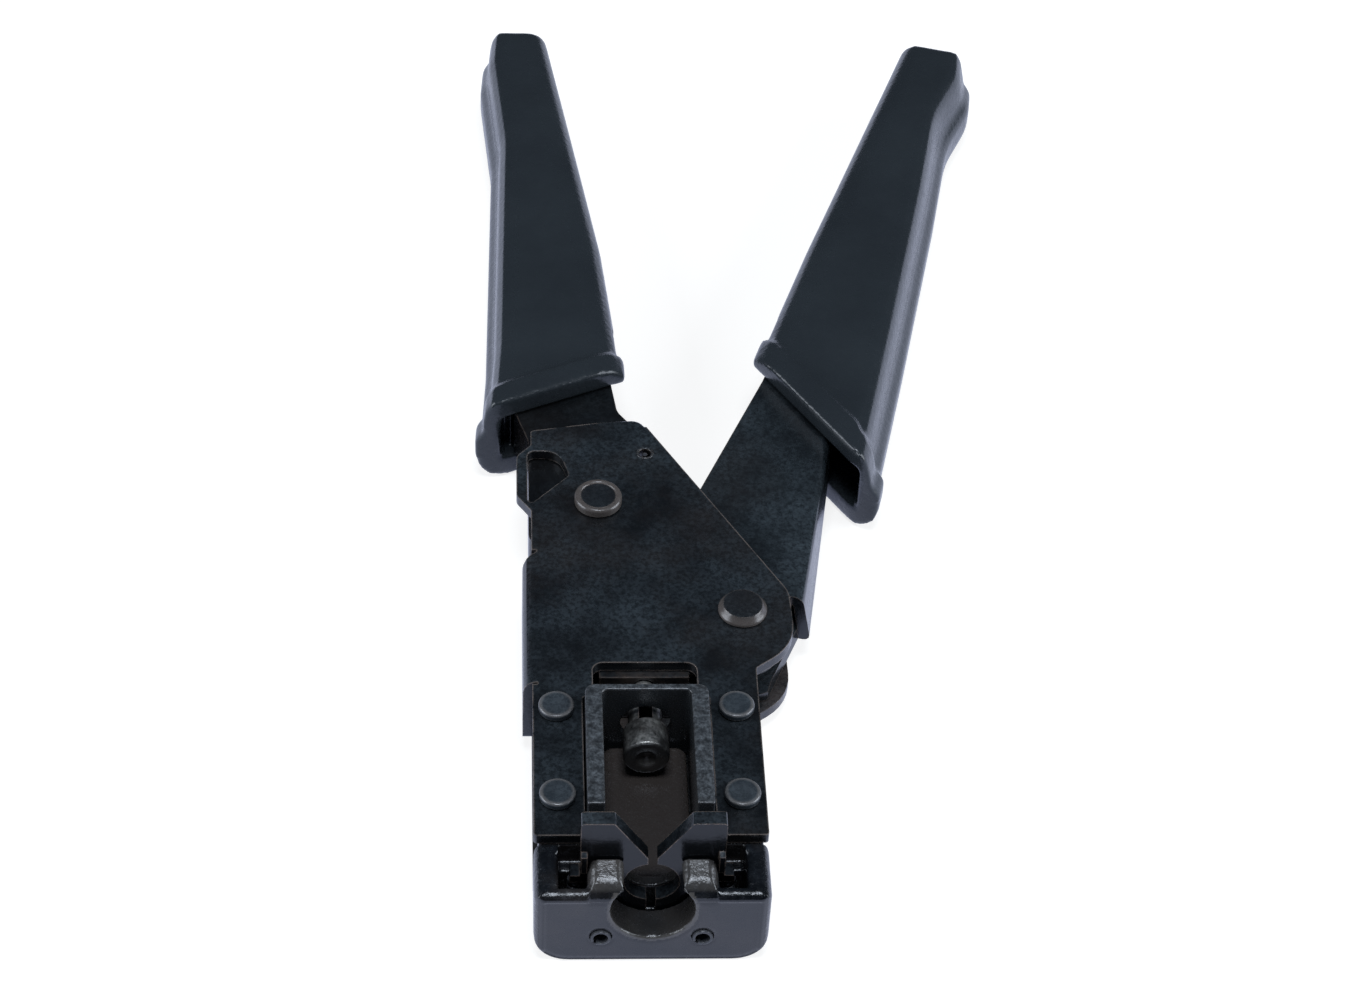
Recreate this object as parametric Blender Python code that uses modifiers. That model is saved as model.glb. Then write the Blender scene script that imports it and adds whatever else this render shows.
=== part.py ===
"""Coaxial connector compression tool with a sprung jaw nose, a plunger and two gripped handles.

Lengths are millimetres and angles are degrees; the builders turn them into metres and radians.
The origin is the middle of the nose block's flat underside. +Y runs along the connector axis
towards the handles and +Z is up, as the tool lies on its nose and its grips, handles open.
"""

import math

import bmesh
import bpy
from mathutils import Matrix, Vector

MM = 0.001
WELD = 0.001
SEAM = 0.02

# Fits
CLEARANCE = 0.3

# Frame: two side plates, the upper one with its outer face at FRAME_TOP
FRAME_WIDTH = 34.0
FRAME_TOP = 15.8
FRAME_STACK = 13.2
PLATE_THICKNESS = 1.8
PLATE_CORNER = 0.5
PLATE_REAR_LEFT = 91.0
PLATE_REAR_RISE = 3.2
PLATE_REAR_X = 0.8
PLATE_REAR_CORNER = 2.4
MAIN_PIVOT_X = 15.5
MAIN_PIVOT_Y = 50.2
LOBE_REACH = 7.5
LOBE_FLARE = 0.3
LOBE_REAR_RISE = 4.2
LOBE_FRONT_DROP = 7.2
LOBE_FOOT_DROP = 11.9
LOBE_REAR_RADIUS = 6.0
LOBE_FRONT_RADIUS = 9.0
REAR_RIVET_X = -6.3
REAR_RIVET_Y = 74.3
SPRING_HOLE_X = 1.55
SPRING_HOLE_Y = 85.8
SPRING_HOLE_RADIUS = 1.0
WINDOW_WIDTH = 15.8
WINDOW_REAR = 39.4
WINDOW_CORNER = 1.6

# Wall folded down from the upper plate's left edge
WALL_STAND = 1.4
WALL_FRONT = 35.4
WALL_REAR = 61.4
WALL_DROP = 12.9
WALL_SLOPE = 1.8
BEND_RADIUS = 2.2
BEND_STEPS = 4
RELIEF = 0.4
FOLD_CORNER = 1.0

# Hooked ear behind it, measured from the plate's rear left corner
EAR_STAND = 2.3
EAR_REAR = 3.4
EAR_FRONT = 18.6
EAR_SHOULDER = 2.6
EAR_TAPER = 3.4
EAR_CORNER = 2.0
EAR_RIM = 1.8
EAR_HOLE_REAR = 4.8
EAR_HOLE_FRONT = 17.6
EAR_HOLE_TIP = 10.4
EAR_HOLE_WIDTH = 6.7
EAR_HOLE_TOP = 5.0
EAR_HOLE_CORNER = 1.2
EAR_HOLE_ROUND = 3.2

# Frame rivets
FRAME_RIVET_SHIFT = 0.2
FRAME_RIVET_FRONT = 12.7
FRAME_RIVET_REAR = 29.9
FRAME_RIVET_RADIUS = 1.9
FRAME_RIVET_HEAD = 2.7
FRAME_RIVET_HEAD_HEIGHT = 1.0

# Pivot rivets
PIVOT_RADIUS = 3.0
PIVOT_HEAD = 3.8
PIVOT_HEAD_HEIGHT = 1.4
PIVOT_HEAD_SHOULDER = 0.5
PIVOT_HEAD_EDGE = 0.3
REAR_HEAD_RIM = 0.7
REAR_HEAD_DISH = 0.35

# Nose block
NOSE_DEPTH = 10.4
NOSE_HEIGHT = 14.8
NOSE_CORNER = 5.0
NOSE_EDGE = 1.2
FRONT_WALL = 5.5
HUMP_INNER = 4.1
HUMP_OUTER = 9.1
HUMP_FRONT_HEIGHT = 15.4
HUMP_BACK_HEIGHT = 16.8
HUMP_CORNER = 1.4
POCKET_WIDTH = 27.0
SLOT_LIP = 2.2
REAR_LIP_DROP = 4.6
LEG_INSET = 0.7
LEG_REAR = 36.0
LEG_CORNER = 1.5
TONGUE_GAP = 1.1
TONGUE_WIDTH = 12.6
TONGUE_REAR = 30.4
TONGUE_CORNER = 1.6

# Cable path
AXIS_HEIGHT = 11.2
KEYHOLE_RADIUS = 6.0
KEYHOLE_CHAMFER = 0.7
REAR_NOTCH_RADIUS = 4.2

# Jaws on their roll pins, heights measured from the cable axis
JAW_THICKNESS = 2.4
JAW_PIVOT_X = 7.35
JAW_PIVOT_DROP = 5.7
JAW_RISE = 12.8
JAW_OUTER = 10.4
JAW_HOLE_RADIUS = 4.0
JAW_SPLIT = 1.3
JAW_TIP_RISE = 5.2
JAW_MOUTH = 11.2
JAW_TOP_CORNER = 0.6
JAW_EAR_REACH = 11.9
JAW_EAR_THICKNESS = 1.4
JAW_EAR_CORNER = 0.3
JAW_WAIST = 8.7
JAW_BOSS_RADIUS = 2.9
JAW_FOOT_DROP = 6.8
JAW_LUG_INNER = 9.4
JAW_LUG_INSET = 0.1
JAW_LUG_RISE = 3.4
JAW_LUG_HEIGHT = 3.4
JAW_LUG_DEPTH = 1.2
JAW_FLOOR_GAP = 0.4
ROLL_PIN_RADIUS = 1.5
ROLL_PIN_BORE = 0.9
ROLL_PIN_SLIT = 0.6
ROLL_PIN_FIT = 0.15

# Jaw springs
JAW_SPRING_X = 11.2
JAW_SPRING_RADIUS = 0.8
JAW_SPRING_WIRE = 0.45
JAW_SPRING_TURNS = 7
SPRING_POINTS_PER_TURN = 9

# Connector cradle
CRADLE_WIDTH = 18.5
CRADLE_WALL = 2.6
CRADLE_BACK_WALL = 1.2
CRADLE_FRONT = 8.8
CRADLE_REAR = 32.2
CRADLE_TOP = 19.0
CRADLE_END_CORNER = 0.4
CRADLE_OUTER_CORNER = 1.5
CRADLE_INNER_CORNER = 0.8

# Plunger and its carriage
PLUNGER_FACE = 24.1
PLUNGER_RADIUS = 3.5
PLUNGER_HEAD_LENGTH = 5.4
PLUNGER_DIMPLE_RADIUS = 1.5
PLUNGER_DIMPLE_DEPTH = 0.9
PLUNGER_EDGE = 0.4
NECK_RADIUS = 2.6
NECK_SLOT_WIDTH = 2.0
NECK_SLOT_LENGTH = 3.0
SHANK_RADIUS = 1.6
SHANK_LENGTH = 5.0
CARRIAGE_FRONT = 38.2
CARRIAGE_LENGTH = 6.4
CARRIAGE_WIDTH = 13.8
YOKE_WIDTH = 9.4
YOKE_WALL = 3.0
YOKE_THICKNESS = 4.0
YOKE_CORNER = 1.5
YOKE_SLOT_PLAY = 0.6

# Moving handle, drawn pointing along +Y from the main pivot and then opened
HANDLE_OPEN = 16.0
HANDLE_TRAVEL = 18.0
CRANK_REACH = 15.5
SHEET_THICKNESS = 1.8
DRIVE_PIN_RADIUS = 1.9
CRANK_BOSS = 3.9
LEVER_NOSE_RADIUS = 9.3
LEVER_NOSE_END = -62.0
LEVER_WEB_X = 8.2
LEVER_WEB_WAIST = 3.9
LEVER_WEB_FRONT = 7.2
LEVER_WEB_END = 2.0
LEVER_LEAN_FRONT = 1.8
LEVER_LEAN_REAR = 3.9
LEVER_LEAN_Y = 47.0
LEVER_BEND = 1.3
LEVER_BEND_STEPS = 3
LEVER_SHOULDER_X = -13.0
LEVER_SHOULDER_Y = 27.0
LEVER_SHOULDER_CORNER = 6.0
LEVER_WAIST_X = -9.1
LEVER_WAIST_Y = 55.0
LEVER_TAIL_LEFT = -3.2
LEVER_TAIL_RIGHT = 3.4
LEVER_TAIL = 125.0
BUSH_RADIUS = 4.5

# Fixed handle, along the frame's left side
TANG_REACH = 7.3
TANG_STAND = 0.4
TANG_RIGHT = -1.8
TANG_CORNER = 2.0
TANG_SHOULDER = 4.0
TANG_FLARE = 3.0
TANG_FLARE_LENGTH = 8.0
TANG_SPREAD = 7.0
TANG_SPREAD_LEFT = -19.6
TANG_SPREAD_RIGHT = -2.6
TANG_TAIL = 176.0
TANG_TAIL_LEFT = -20.4
TANG_TAIL_RIGHT = -12.6

# Grips
GRIP_LOW = 0.4
GRIP_HIGH = 17.2
GRIP_ROUND = 4.2
GRIP_CORNER = 6.0
GRIP_BLEND = 40.0
GRIP_END_EDGE = 1.5
GRIP_CUT = 12.0
COLLAR_HIGH = 18.2
COLLAR_STAND = 0.9
COLLAR_LENGTH = 4.8
COLLAR_EDGE = 0.6
MOUTH_TURN_ROUND = 7.0
MOUTH_OPENING = 3.8
MOUTH_CUTBACK = 14.0

# Moving grip, edges and stations along the handle from the main pivot
MOVING_OUTER_ROOT = 14.4
MOVING_OUTER_SWELL = 13.7
MOVING_OUTER_PALM = 12.5
MOVING_OUTER_FINGER = 10.3
MOVING_OUTER_WAIST = 8.7
MOVING_OUTER_POMMEL = 10.7
MOVING_OUTER_END = 9.8
MOVING_INNER_ROOT = -12.0
MOVING_INNER_SHOULDER = -11.0
MOVING_INNER_PALM = -9.2
MOVING_INNER_END = -4.3
MOVING_ROOT_Y = 20.0
MOVING_SWELL_Y = 46.0
MOVING_SHOULDER_Y = 60.0
MOVING_PALM_Y = 72.0
MOVING_INNER_PALM_Y = 90.0
MOVING_FINGER_Y = 112.0
MOVING_WAIST_Y = 134.0
MOVING_POMMEL_Y = 146.5
MOVING_END = 153.2
MOVING_MOUTH_Y = 57.1
MOVING_MOUTH_SLANT = -42.5
MOVING_MOUTH_LEAN = 5.0
MOVING_MOUTH_TURN = 29.2
MOVING_MOUTH_DEPTH = 52.0
MOVING_MOUTH_WALL = 2.8

# Fixed grip, edges and stations along the tool
FIXED_INNER_ROOT = -1.0
FIXED_INNER_PALM = -1.6
FIXED_INNER_FINGER = -4.4
FIXED_INNER_END = -13.2
FIXED_OUTER_END = -25.3
FIXED_OUTER_POMMEL = -25.8
FIXED_OUTER_WAIST = -23.7
FIXED_OUTER_PALM = -24.4
FIXED_OUTER_ROOT = -26.6
FIXED_ROOT_Y = 70.0
FIXED_PALM_Y = 108.0
FIXED_OUTER_PALM_Y = 112.0
FIXED_FINGER_Y = 139.0
FIXED_WAIST_Y = 168.0
FIXED_POMMEL_Y = 192.0
FIXED_END = 200.6
FIXED_MOUTH_X = -1.4
FIXED_MOUTH_Y = 104.4
FIXED_MOUTH_SLANT = 24.0
FIXED_MOUTH_LEAN = 4.0
FIXED_MOUTH_TURN = 22.8
FIXED_MOUTH_DEPTH = 8.0
FIXED_MOUTH_WALL = 2.6

# Return spring on the main pivot
RETURN_SPRING_RADIUS = 5.8
RETURN_SPRING_WIRE = 0.8
RETURN_SPRING_TURNS = 2
RETURN_LEG = 16.0

# Roundness
ARC_STEPS = 6
RIVET_STEPS = 24
PIVOT_STEPS = 32
HOLE_STEPS = 24
KEYHOLE_STEPS = 40

# Heights and places that follow from the sizes above
PLATE_UNDER = FRAME_TOP - PLATE_THICKNESS
FLOOR_UNDER = FRAME_TOP - FRAME_STACK
PLATE_REAR_RIGHT = PLATE_REAR_LEFT + PLATE_REAR_RISE
FLOOR_TOP = FLOOR_UNDER + PLATE_THICKNESS
INNER_LOW = FLOOR_TOP + CLEARANCE
INNER_HIGH = PLATE_UNDER - CLEARANCE
NOSE_FRONT = -NOSE_DEPTH / 2
NOSE_BACK = NOSE_DEPTH / 2
PLATE_FRONT = NOSE_BACK + CLEARANCE
WALL_BACK = NOSE_FRONT + FRONT_WALL
JAW_FRONT = WALL_BACK + CLEARANCE
JAW_BACK = JAW_FRONT + JAW_THICKNESS
POCKET_BACK = JAW_BACK + CLEARANCE
HALF_WIDTH = FRAME_WIDTH / 2
WALL_REACH = HALF_WIDTH + WALL_STAND
EAR_REACH = HALF_WIDTH + EAR_STAND
LEG_INNER = CRADLE_WIDTH / 2 + CLEARANCE
LEG_OUTER = HALF_WIDTH - LEG_INSET
FRAME_RIVET_X = (LEG_INNER + HALF_WIDTH) / 2 + FRAME_RIVET_SHIFT
JAW_PIVOT_Z = AXIS_HEIGHT - JAW_PIVOT_DROP
JAW_TOP = AXIS_HEIGHT + JAW_RISE
JAW_EAR_UNDER = AXIS_HEIGHT
NOSE_FLOOR = JAW_PIVOT_Z - JAW_BOSS_RADIUS - JAW_FLOOR_GAP
TONGUE_TOP = AXIS_HEIGHT - PLUNGER_RADIUS - TONGUE_GAP
TANG_FRONT = REAR_RIVET_Y - TANG_REACH
TANG_LEFT = -TANG_STAND - HALF_WIDTH
TANG_SPREAD_Y = PLATE_REAR_LEFT + TANG_SPREAD
WINDOW_FRONT_HALF = CRADLE_WIDTH / 2 + CLEARANCE
CRADLE_END = CRADLE_REAR + CLEARANCE

STEEL = (0.014, 0.017, 0.020)
BARE_EDGE = (0.10, 0.085, 0.075)
VINYL = (0.020, 0.023, 0.026)


def clear_scene():
    """Remove every object that the scene starts with."""
    for leftover in list(bpy.data.objects):
        bpy.data.objects.remove(leftover, do_unlink=True)


def new_collection(name):
    """Make a collection under the scene's root."""
    made = bpy.data.collections.new(name)
    bpy.context.scene.collection.children.link(made)
    return made


clear_scene()
TOOL = new_collection("coax_compression_tool")
CUTTERS = new_collection("cutters")


def material(name, colour, roughness, metallic):
    """Make the Principled material of one part."""
    made = bpy.data.materials.new(name)
    made.use_nodes = True
    shader = made.node_tree.nodes["Principled BSDF"]
    shader.inputs["Base Color"].default_value = (*colour, 1.0)
    shader.inputs["Roughness"].default_value = roughness
    shader.inputs["Metallic"].default_value = metallic
    return made


def axis_empty(name, x, y, z, turn=0.0):
    """Add an empty on a joint's axis, turned about Z."""
    empty = bpy.data.objects.new(name, None)
    empty.location = Vector((x, y, z)) * MM
    empty.rotation_euler = (0.0, 0.0, math.radians(turn))
    empty.empty_display_size = 5 * MM
    TOOL.objects.link(empty)
    return empty


def arc(centre, radius, start, end, steps):
    """Return points on an arc, both ends included; angles in degrees."""
    angles = [math.radians(start + (end - start) * i / steps) for i in range(steps + 1)]
    return [(centre[0] + radius * math.cos(a), centre[1] + radius * math.sin(a)) for a in angles]


def circle(centre, radius, steps=HOLE_STEPS):
    """Return the points of a full circle."""
    return arc(centre, radius, 0.0, 360.0, steps)[:-1]


def rounded(corners, steps=ARC_STEPS):
    """Return an outline through (x, y, radius) corners, each rounded by its own radius."""
    outline = []
    corners = [here for i, here in enumerate(corners) if math.dist(here[:2], corners[i - 1][:2]) > WELD]
    count = len(corners)
    for i, (x, y, radius) in enumerate(corners):
        here = Vector((x, y))
        to_last = (Vector(corners[i - 1][:2]) - here).normalized()
        to_next = (Vector(corners[(i + 1) % count][:2]) - here).normalized()
        half = to_last.angle(to_next) / 2
        if radius <= 0.0 or half > math.radians(89.0):
            outline.append((x, y))
            continue
        centre = here + (to_last + to_next).normalized() * (radius / math.sin(half))
        begin = here + to_last * (radius / math.tan(half)) - centre
        sweep = begin.angle_signed(here + to_next * (radius / math.tan(half)) - centre)
        for step in range(steps + 1):
            spoke = begin.copy()
            spoke.rotate(Matrix.Rotation(-sweep * step / steps, 2))
            outline.append(tuple(centre + spoke))
    return outline


def anticlockwise(outline):
    """Return an outline with its points in anticlockwise order, so that its slab faces outwards."""
    area = sum(a[0] * b[1] - b[0] * a[1] for a, b in zip(outline, outline[1:] + outline[:1]))
    return outline if area > 0.0 else outline[::-1]


def finish(name, mesh, parent, group, paint):
    """Put a mesh into the scene as one object, smooth where it is round."""
    piece = bpy.data.objects.new(name, mesh)
    group.objects.link(piece)
    piece.parent = parent
    mesh.shade_smooth()
    mesh.set_sharp_from_angle(angle=math.radians(30.0))
    if paint is None:
        piece.hide_render = True
        piece.display_type = 'WIRE'
    else:
        mesh.materials.clear()
        mesh.materials.append(paint)
    return piece


def curve_mesh(curve, turn):
    """Turn a curve into a closed mesh, welded, with its faces out."""
    holder = bpy.data.objects.new("outline", curve)
    bpy.context.scene.collection.objects.link(holder)
    evaluated = holder.evaluated_get(bpy.context.evaluated_depsgraph_get())
    mesh = bpy.data.meshes.new_from_object(evaluated)
    bpy.data.objects.remove(holder, do_unlink=True)
    cage = bmesh.new()
    cage.from_mesh(mesh)
    bmesh.ops.remove_doubles(cage, verts=cage.verts, dist=WELD * MM)
    bmesh.ops.recalc_face_normals(cage, faces=cage.faces)
    bmesh.ops.dissolve_limit(cage, angle_limit=math.radians(0.5), verts=cage.verts, edges=cage.edges)
    cage.to_mesh(mesh)
    cage.free()
    mesh.transform(turn)
    return mesh


def slab(name, loops, low, high, paint=None, parent=None, along='Z', edge=0.0, edge_steps=2):
    """Extrude flat outlines, the first one less the others, with rounded rims if edge is set.

    Along 'Z' an outline is (x, y) and runs from z low to high. Along 'Y' it is (x, z), from y low to high.
    """
    curve = bpy.data.curves.new(name, 'CURVE')
    curve.dimensions = '2D'
    curve.fill_mode = 'BOTH'
    curve.extrude = ((high - low) / 2 - edge) * MM
    curve.bevel_depth = edge * MM
    curve.bevel_resolution = edge_steps
    curve.offset = -edge * MM
    for loop in loops:
        spline = curve.splines.new('POLY')
        spline.points.add(len(loop) - 1)
        spline.use_cyclic_u = True
        for point, (a, b) in zip(spline.points, loop):
            point.co = (a * MM, b * MM, 0.0, 1.0)
    middle = (low + high) / 2 * MM
    if along == 'Z':
        turn = Matrix.Translation((0.0, 0.0, middle))
    else:
        turn = Matrix.Translation((0.0, middle, 0.0)) @ Matrix.Rotation(math.radians(90.0), 4, 'X')
    group = CUTTERS if paint is None else TOOL
    return finish(name, curve_mesh(curve, turn), parent, group, paint)


def box(name, low, high, paint=None, parent=None):
    """Add a box between two corners."""
    outline = [(low[0], low[1]), (high[0], low[1]), (high[0], high[1]), (low[0], high[1])]
    return slab(name, [outline], low[2], high[2], paint, parent)


def turned(name, profile, place, steps, paint=None, parent=None, along='Z', closed=False):
    """Spin a profile of (radius, height) points, given down its outer side from the top."""
    mesh = bpy.data.meshes.new(name)
    spin = bmesh.new()
    points = [spin.verts.new((radius * MM, 0.0, height * MM)) for radius, height in profile]
    for first, second in zip(points, points[1:]):
        spin.edges.new((first, second))
    if closed:
        spin.edges.new((points[-1], points[0]))
    spin.to_mesh(mesh)
    spin.free()
    piece = finish(name, mesh, parent, CUTTERS if paint is None else TOOL, paint)
    piece.location = Vector(place) * MM
    if along == 'Y':
        piece.rotation_euler = (math.radians(-90.0), 0.0, 0.0)
    screw = piece.modifiers.new("turn", 'SCREW')
    screw.steps = steps
    screw.render_steps = steps
    screw.merge_threshold = WELD * MM
    screw.use_merge_vertices = True
    screw.use_smooth_shade = True
    return piece


def combine(target, tool, operation='DIFFERENCE'):
    """Cut a tool body out of a piece, or join or intersect the two."""
    if tool.name not in CUTTERS.objects:
        TOOL.objects.unlink(tool)
        CUTTERS.objects.link(tool)
    tool.hide_render = True
    tool.display_type = 'WIRE'
    step = target.modifiers.new(tool.name, 'BOOLEAN')
    step.operation = operation
    step.solver = 'EXACT'
    step.object = tool
    return target


def drill(target, name, centre, radius, low, high, along='Z', parent=None, steps=HOLE_STEPS):
    """Cut one round hole through a piece."""
    return combine(target, slab(name, [circle(centre, radius, steps)], low, high, None, parent, along))


def mirrored(outline, side):
    """Return an outline flipped to the side's hand, still running the same way round."""
    flipped = [(side * point[0], *point[1:]) for point in outline]
    return flipped if side > 0 else flipped[::-1]


def least_gap(name, points, wire, points_per_turn):
    """Print how close a wound wire comes to itself, surface to surface, away from its own neighbours."""
    near = points_per_turn // 2
    closest = min(
        (Vector(first) - Vector(second)).length
        for i, first in enumerate(points)
        for second in points[i + near:]
    )
    print(f"{name}: least gap between turns {closest - wire:.2f} mm")


def wire_form(name, points, wire, paint):
    """Sweep a round wire along points as one closed tube."""
    curve = bpy.data.curves.new(name, 'CURVE')
    curve.dimensions = '3D'
    curve.bevel_depth = wire / 2 * MM
    curve.bevel_resolution = 1
    curve.use_fill_caps = True
    spline = curve.splines.new('POLY')
    spline.points.add(len(points) - 1)
    for point, place in zip(spline.points, points):
        point.co = (*(Vector(place) * MM), 1.0)
    return finish(name, curve_mesh(curve, Matrix.Identity(4)), None, TOOL, paint)


def plate_outline(left_edge):
    """Return the side plates' plan outline up the right side, round the lobe, back and down the left edge."""
    lobe_x = MAIN_PIVOT_X + LOBE_REACH
    right_side = [
        (HALF_WIDTH, PLATE_FRONT, PLATE_CORNER),
        (HALF_WIDTH, MAIN_PIVOT_Y - LOBE_FOOT_DROP, PLATE_CORNER),
        (lobe_x + LOBE_FLARE, MAIN_PIVOT_Y - LOBE_FRONT_DROP, LOBE_FRONT_RADIUS),
        (lobe_x, MAIN_PIVOT_Y + LOBE_REAR_RISE, LOBE_REAR_RADIUS),
        (PLATE_REAR_X, PLATE_REAR_RIGHT, PLATE_REAR_CORNER),
        (-HALF_WIDTH, PLATE_REAR_LEFT, PLATE_CORNER),
    ]
    return right_side + left_edge + [(-HALF_WIDTH, PLATE_FRONT, PLATE_CORNER)]


def plate_holes():
    """Return the round holes that both side plates share."""
    fit = FRAME_RIVET_RADIUS + CLEARANCE
    rivets = [
        circle((side * FRAME_RIVET_X, y), fit, RIVET_STEPS)
        for side in (-1, 1)
        for y in (FRAME_RIVET_FRONT, FRAME_RIVET_REAR)
    ]
    pivots = [
        circle((MAIN_PIVOT_X, MAIN_PIVOT_Y), PIVOT_RADIUS + CLEARANCE, PIVOT_STEPS),
        circle((REAR_RIVET_X, REAR_RIVET_Y), PIVOT_RADIUS + CLEARANCE, PIVOT_STEPS),
    ]
    return rivets + pivots + [circle((SPRING_HOLE_X, SPRING_HOLE_Y), SPRING_HOLE_RADIUS, HOLE_STEPS)]


def folded_length(drop):
    """Return how far a fold reaches in the flat from its bend line, for a given finished drop."""
    return (BEND_RADIUS - PLATE_THICKNESS / 2) * math.pi / 2 + drop - BEND_RADIUS


def fold_outline(reach, front, rear, drop):
    """Return the flat outline of an edge to fold, rear to front, with a sloped rear end and relief notches."""
    bend = BEND_RADIUS - reach
    tip = bend - folded_length(drop)
    root = rear + WALL_SLOPE
    return [
        (-HALF_WIDTH, root + RELIEF, 0.0),
        (bend, root + RELIEF, 0.0),
        (bend, root, 0.0),
        (bend - WALL_SLOPE, rear, 0.0),
        (tip, rear, FOLD_CORNER),
        (tip, front, FOLD_CORNER),
        (bend, front, 0.0),
        (bend, front - RELIEF, 0.0),
        (-HALF_WIDTH, front - RELIEF, 0.0),
    ]


def fold(plate, reach, front, rear, outer_face):
    """Fold a flat edge of a plate down round its bend line."""
    bend = BEND_RADIUS - reach
    neutral = BEND_RADIUS - PLATE_THICKNESS / 2
    bent_length = neutral * math.pi / 2
    centre = outer_face - BEND_RADIUS
    sheet = bmesh.new()
    sheet.from_mesh(plate.data)
    for step in range(BEND_STEPS + 1):
        line = bend - bent_length * step / BEND_STEPS
        everything = sheet.verts[:] + sheet.edges[:] + sheet.faces[:]
        bmesh.ops.bisect_plane(sheet, geom=everything, dist=WELD * MM, plane_co=(line * MM, 0.0, 0.0),
                               plane_no=(1.0, 0.0, 0.0))
    for vert in sheet.verts:
        x, y, z = vert.co / MM
        run = bend - x
        if run <= WELD or y < front - WELD or y > rear + WALL_SLOPE + WELD:
            continue
        radius = z - centre
        angle = min(run / neutral, math.pi / 2)
        straight = max(run - bent_length, 0.0)
        vert.co.x = (bend - radius * math.sin(angle)) * MM
        vert.co.z = (centre + radius * math.cos(angle) - straight) * MM
    sheet.to_mesh(plate.data)
    sheet.free()


def ear_outline():
    """Return the hooked ear's edge, rear to front."""
    rear = PLATE_REAR_LEFT - EAR_REAR
    front = PLATE_REAR_LEFT - EAR_FRONT
    return [
        (-HALF_WIDTH, rear, PLATE_CORNER),
        (-EAR_REACH, rear - EAR_SHOULDER, EAR_CORNER),
        (-EAR_REACH, front + EAR_TAPER, EAR_CORNER),
        (-HALF_WIDTH, front, PLATE_CORNER),
    ]


def ear_hole():
    """Return the hook's pointed hole, straight along the ear's rim."""
    left = EAR_RIM - EAR_REACH
    rear = PLATE_REAR_LEFT - EAR_HOLE_REAR
    front = PLATE_REAR_LEFT - EAR_HOLE_FRONT
    return [
        (left, rear, EAR_HOLE_CORNER),
        (left, front, EAR_HOLE_CORNER / 2),
        (left + EAR_HOLE_WIDTH, PLATE_REAR_LEFT - EAR_HOLE_TIP, EAR_HOLE_CORNER),
        (left + EAR_HOLE_TOP, rear, EAR_HOLE_ROUND),
    ]


def upper_plate(paint):
    """Build the upper side plate: cradle window, drive lobe, hooked ear and the folded left wall."""
    left_edge = ear_outline() + fold_outline(WALL_REACH, WALL_FRONT, WALL_REAR, WALL_DROP)
    window = [
        (-WINDOW_FRONT_HALF, PLATE_FRONT, 0.0),
        (-WINDOW_FRONT_HALF, CRADLE_END, PLATE_CORNER),
        (-WINDOW_WIDTH / 2, CRADLE_END, 0.0),
        (-WINDOW_WIDTH / 2, WINDOW_REAR, WINDOW_CORNER),
        (WINDOW_WIDTH / 2, WINDOW_REAR, WINDOW_CORNER),
        (WINDOW_WIDTH / 2, CRADLE_END, 0.0),
        (WINDOW_FRONT_HALF, CRADLE_END, PLATE_CORNER),
        (WINDOW_FRONT_HALF, PLATE_FRONT, 0.0),
    ]
    loops = [rounded(plate_outline(left_edge) + window), rounded(ear_hole())] + plate_holes()
    plate = slab("upper_side_plate", loops, PLATE_UNDER, FRAME_TOP, paint)
    fold(plate, WALL_REACH, WALL_FRONT, WALL_REAR, FRAME_TOP)
    return plate


def lower_plate(paint):
    """Build the lower side plate, closed under the cradle and cut back beside the upper plate's wall."""
    beside_wall = PLATE_THICKNESS + CLEARANCE - WALL_REACH
    left_edge = [
        (-HALF_WIDTH, WALL_REAR + WALL_SLOPE + CLEARANCE, PLATE_CORNER),
        (beside_wall, WALL_REAR + WALL_SLOPE + CLEARANCE, 0.0),
        (beside_wall, WALL_FRONT - CLEARANCE, 0.0),
        (-HALF_WIDTH, WALL_FRONT - CLEARANCE, PLATE_CORNER),
    ]
    loops = [rounded(plate_outline(left_edge))] + plate_holes()
    return slab("lower_side_plate", loops, FLOOR_UNDER, FLOOR_TOP, paint)


def frame_rivets(paint):
    """Add the four plain rivets that clamp the plates on the nose block's legs."""
    high = FRAME_TOP + CLEARANCE
    low = FLOOR_UNDER - CLEARANCE
    soft = FRAME_RIVET_HEAD_HEIGHT * 0.4
    half = [
        (0.0, high + FRAME_RIVET_HEAD_HEIGHT),
        (FRAME_RIVET_HEAD - soft, high + FRAME_RIVET_HEAD_HEIGHT),
        (FRAME_RIVET_HEAD, high + FRAME_RIVET_HEAD_HEIGHT - soft),
        (FRAME_RIVET_HEAD, high),
        (FRAME_RIVET_RADIUS, high),
    ]
    profile = half + [(radius, low + high - height) for radius, height in reversed(half)]
    for row, y in (("front", FRAME_RIVET_FRONT), ("rear", FRAME_RIVET_REAR)):
        for side, x in (("left", -FRAME_RIVET_X), ("right", FRAME_RIVET_X)):
            turned(f"frame_rivet_{row}_{side}", profile, (x, y, 0.0), RIVET_STEPS, paint)


def pivot_rivet(name, x, y, crown, paint):
    """Add one large rivet through both plates; crown lists the head's points above its shoulder."""
    high = FRAME_TOP + CLEARANCE
    low = FLOOR_UNDER - CLEARANCE
    head = [(radius, high + height) for radius, height in crown]
    shank = [(PIVOT_HEAD, high), (PIVOT_RADIUS, high), (PIVOT_RADIUS, low), (PIVOT_HEAD, low)]
    tail = [(radius, low - height) for radius, height in reversed(crown)]
    return turned(name, head + shank + tail, (x, y, 0.0), PIVOT_STEPS, paint)


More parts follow.
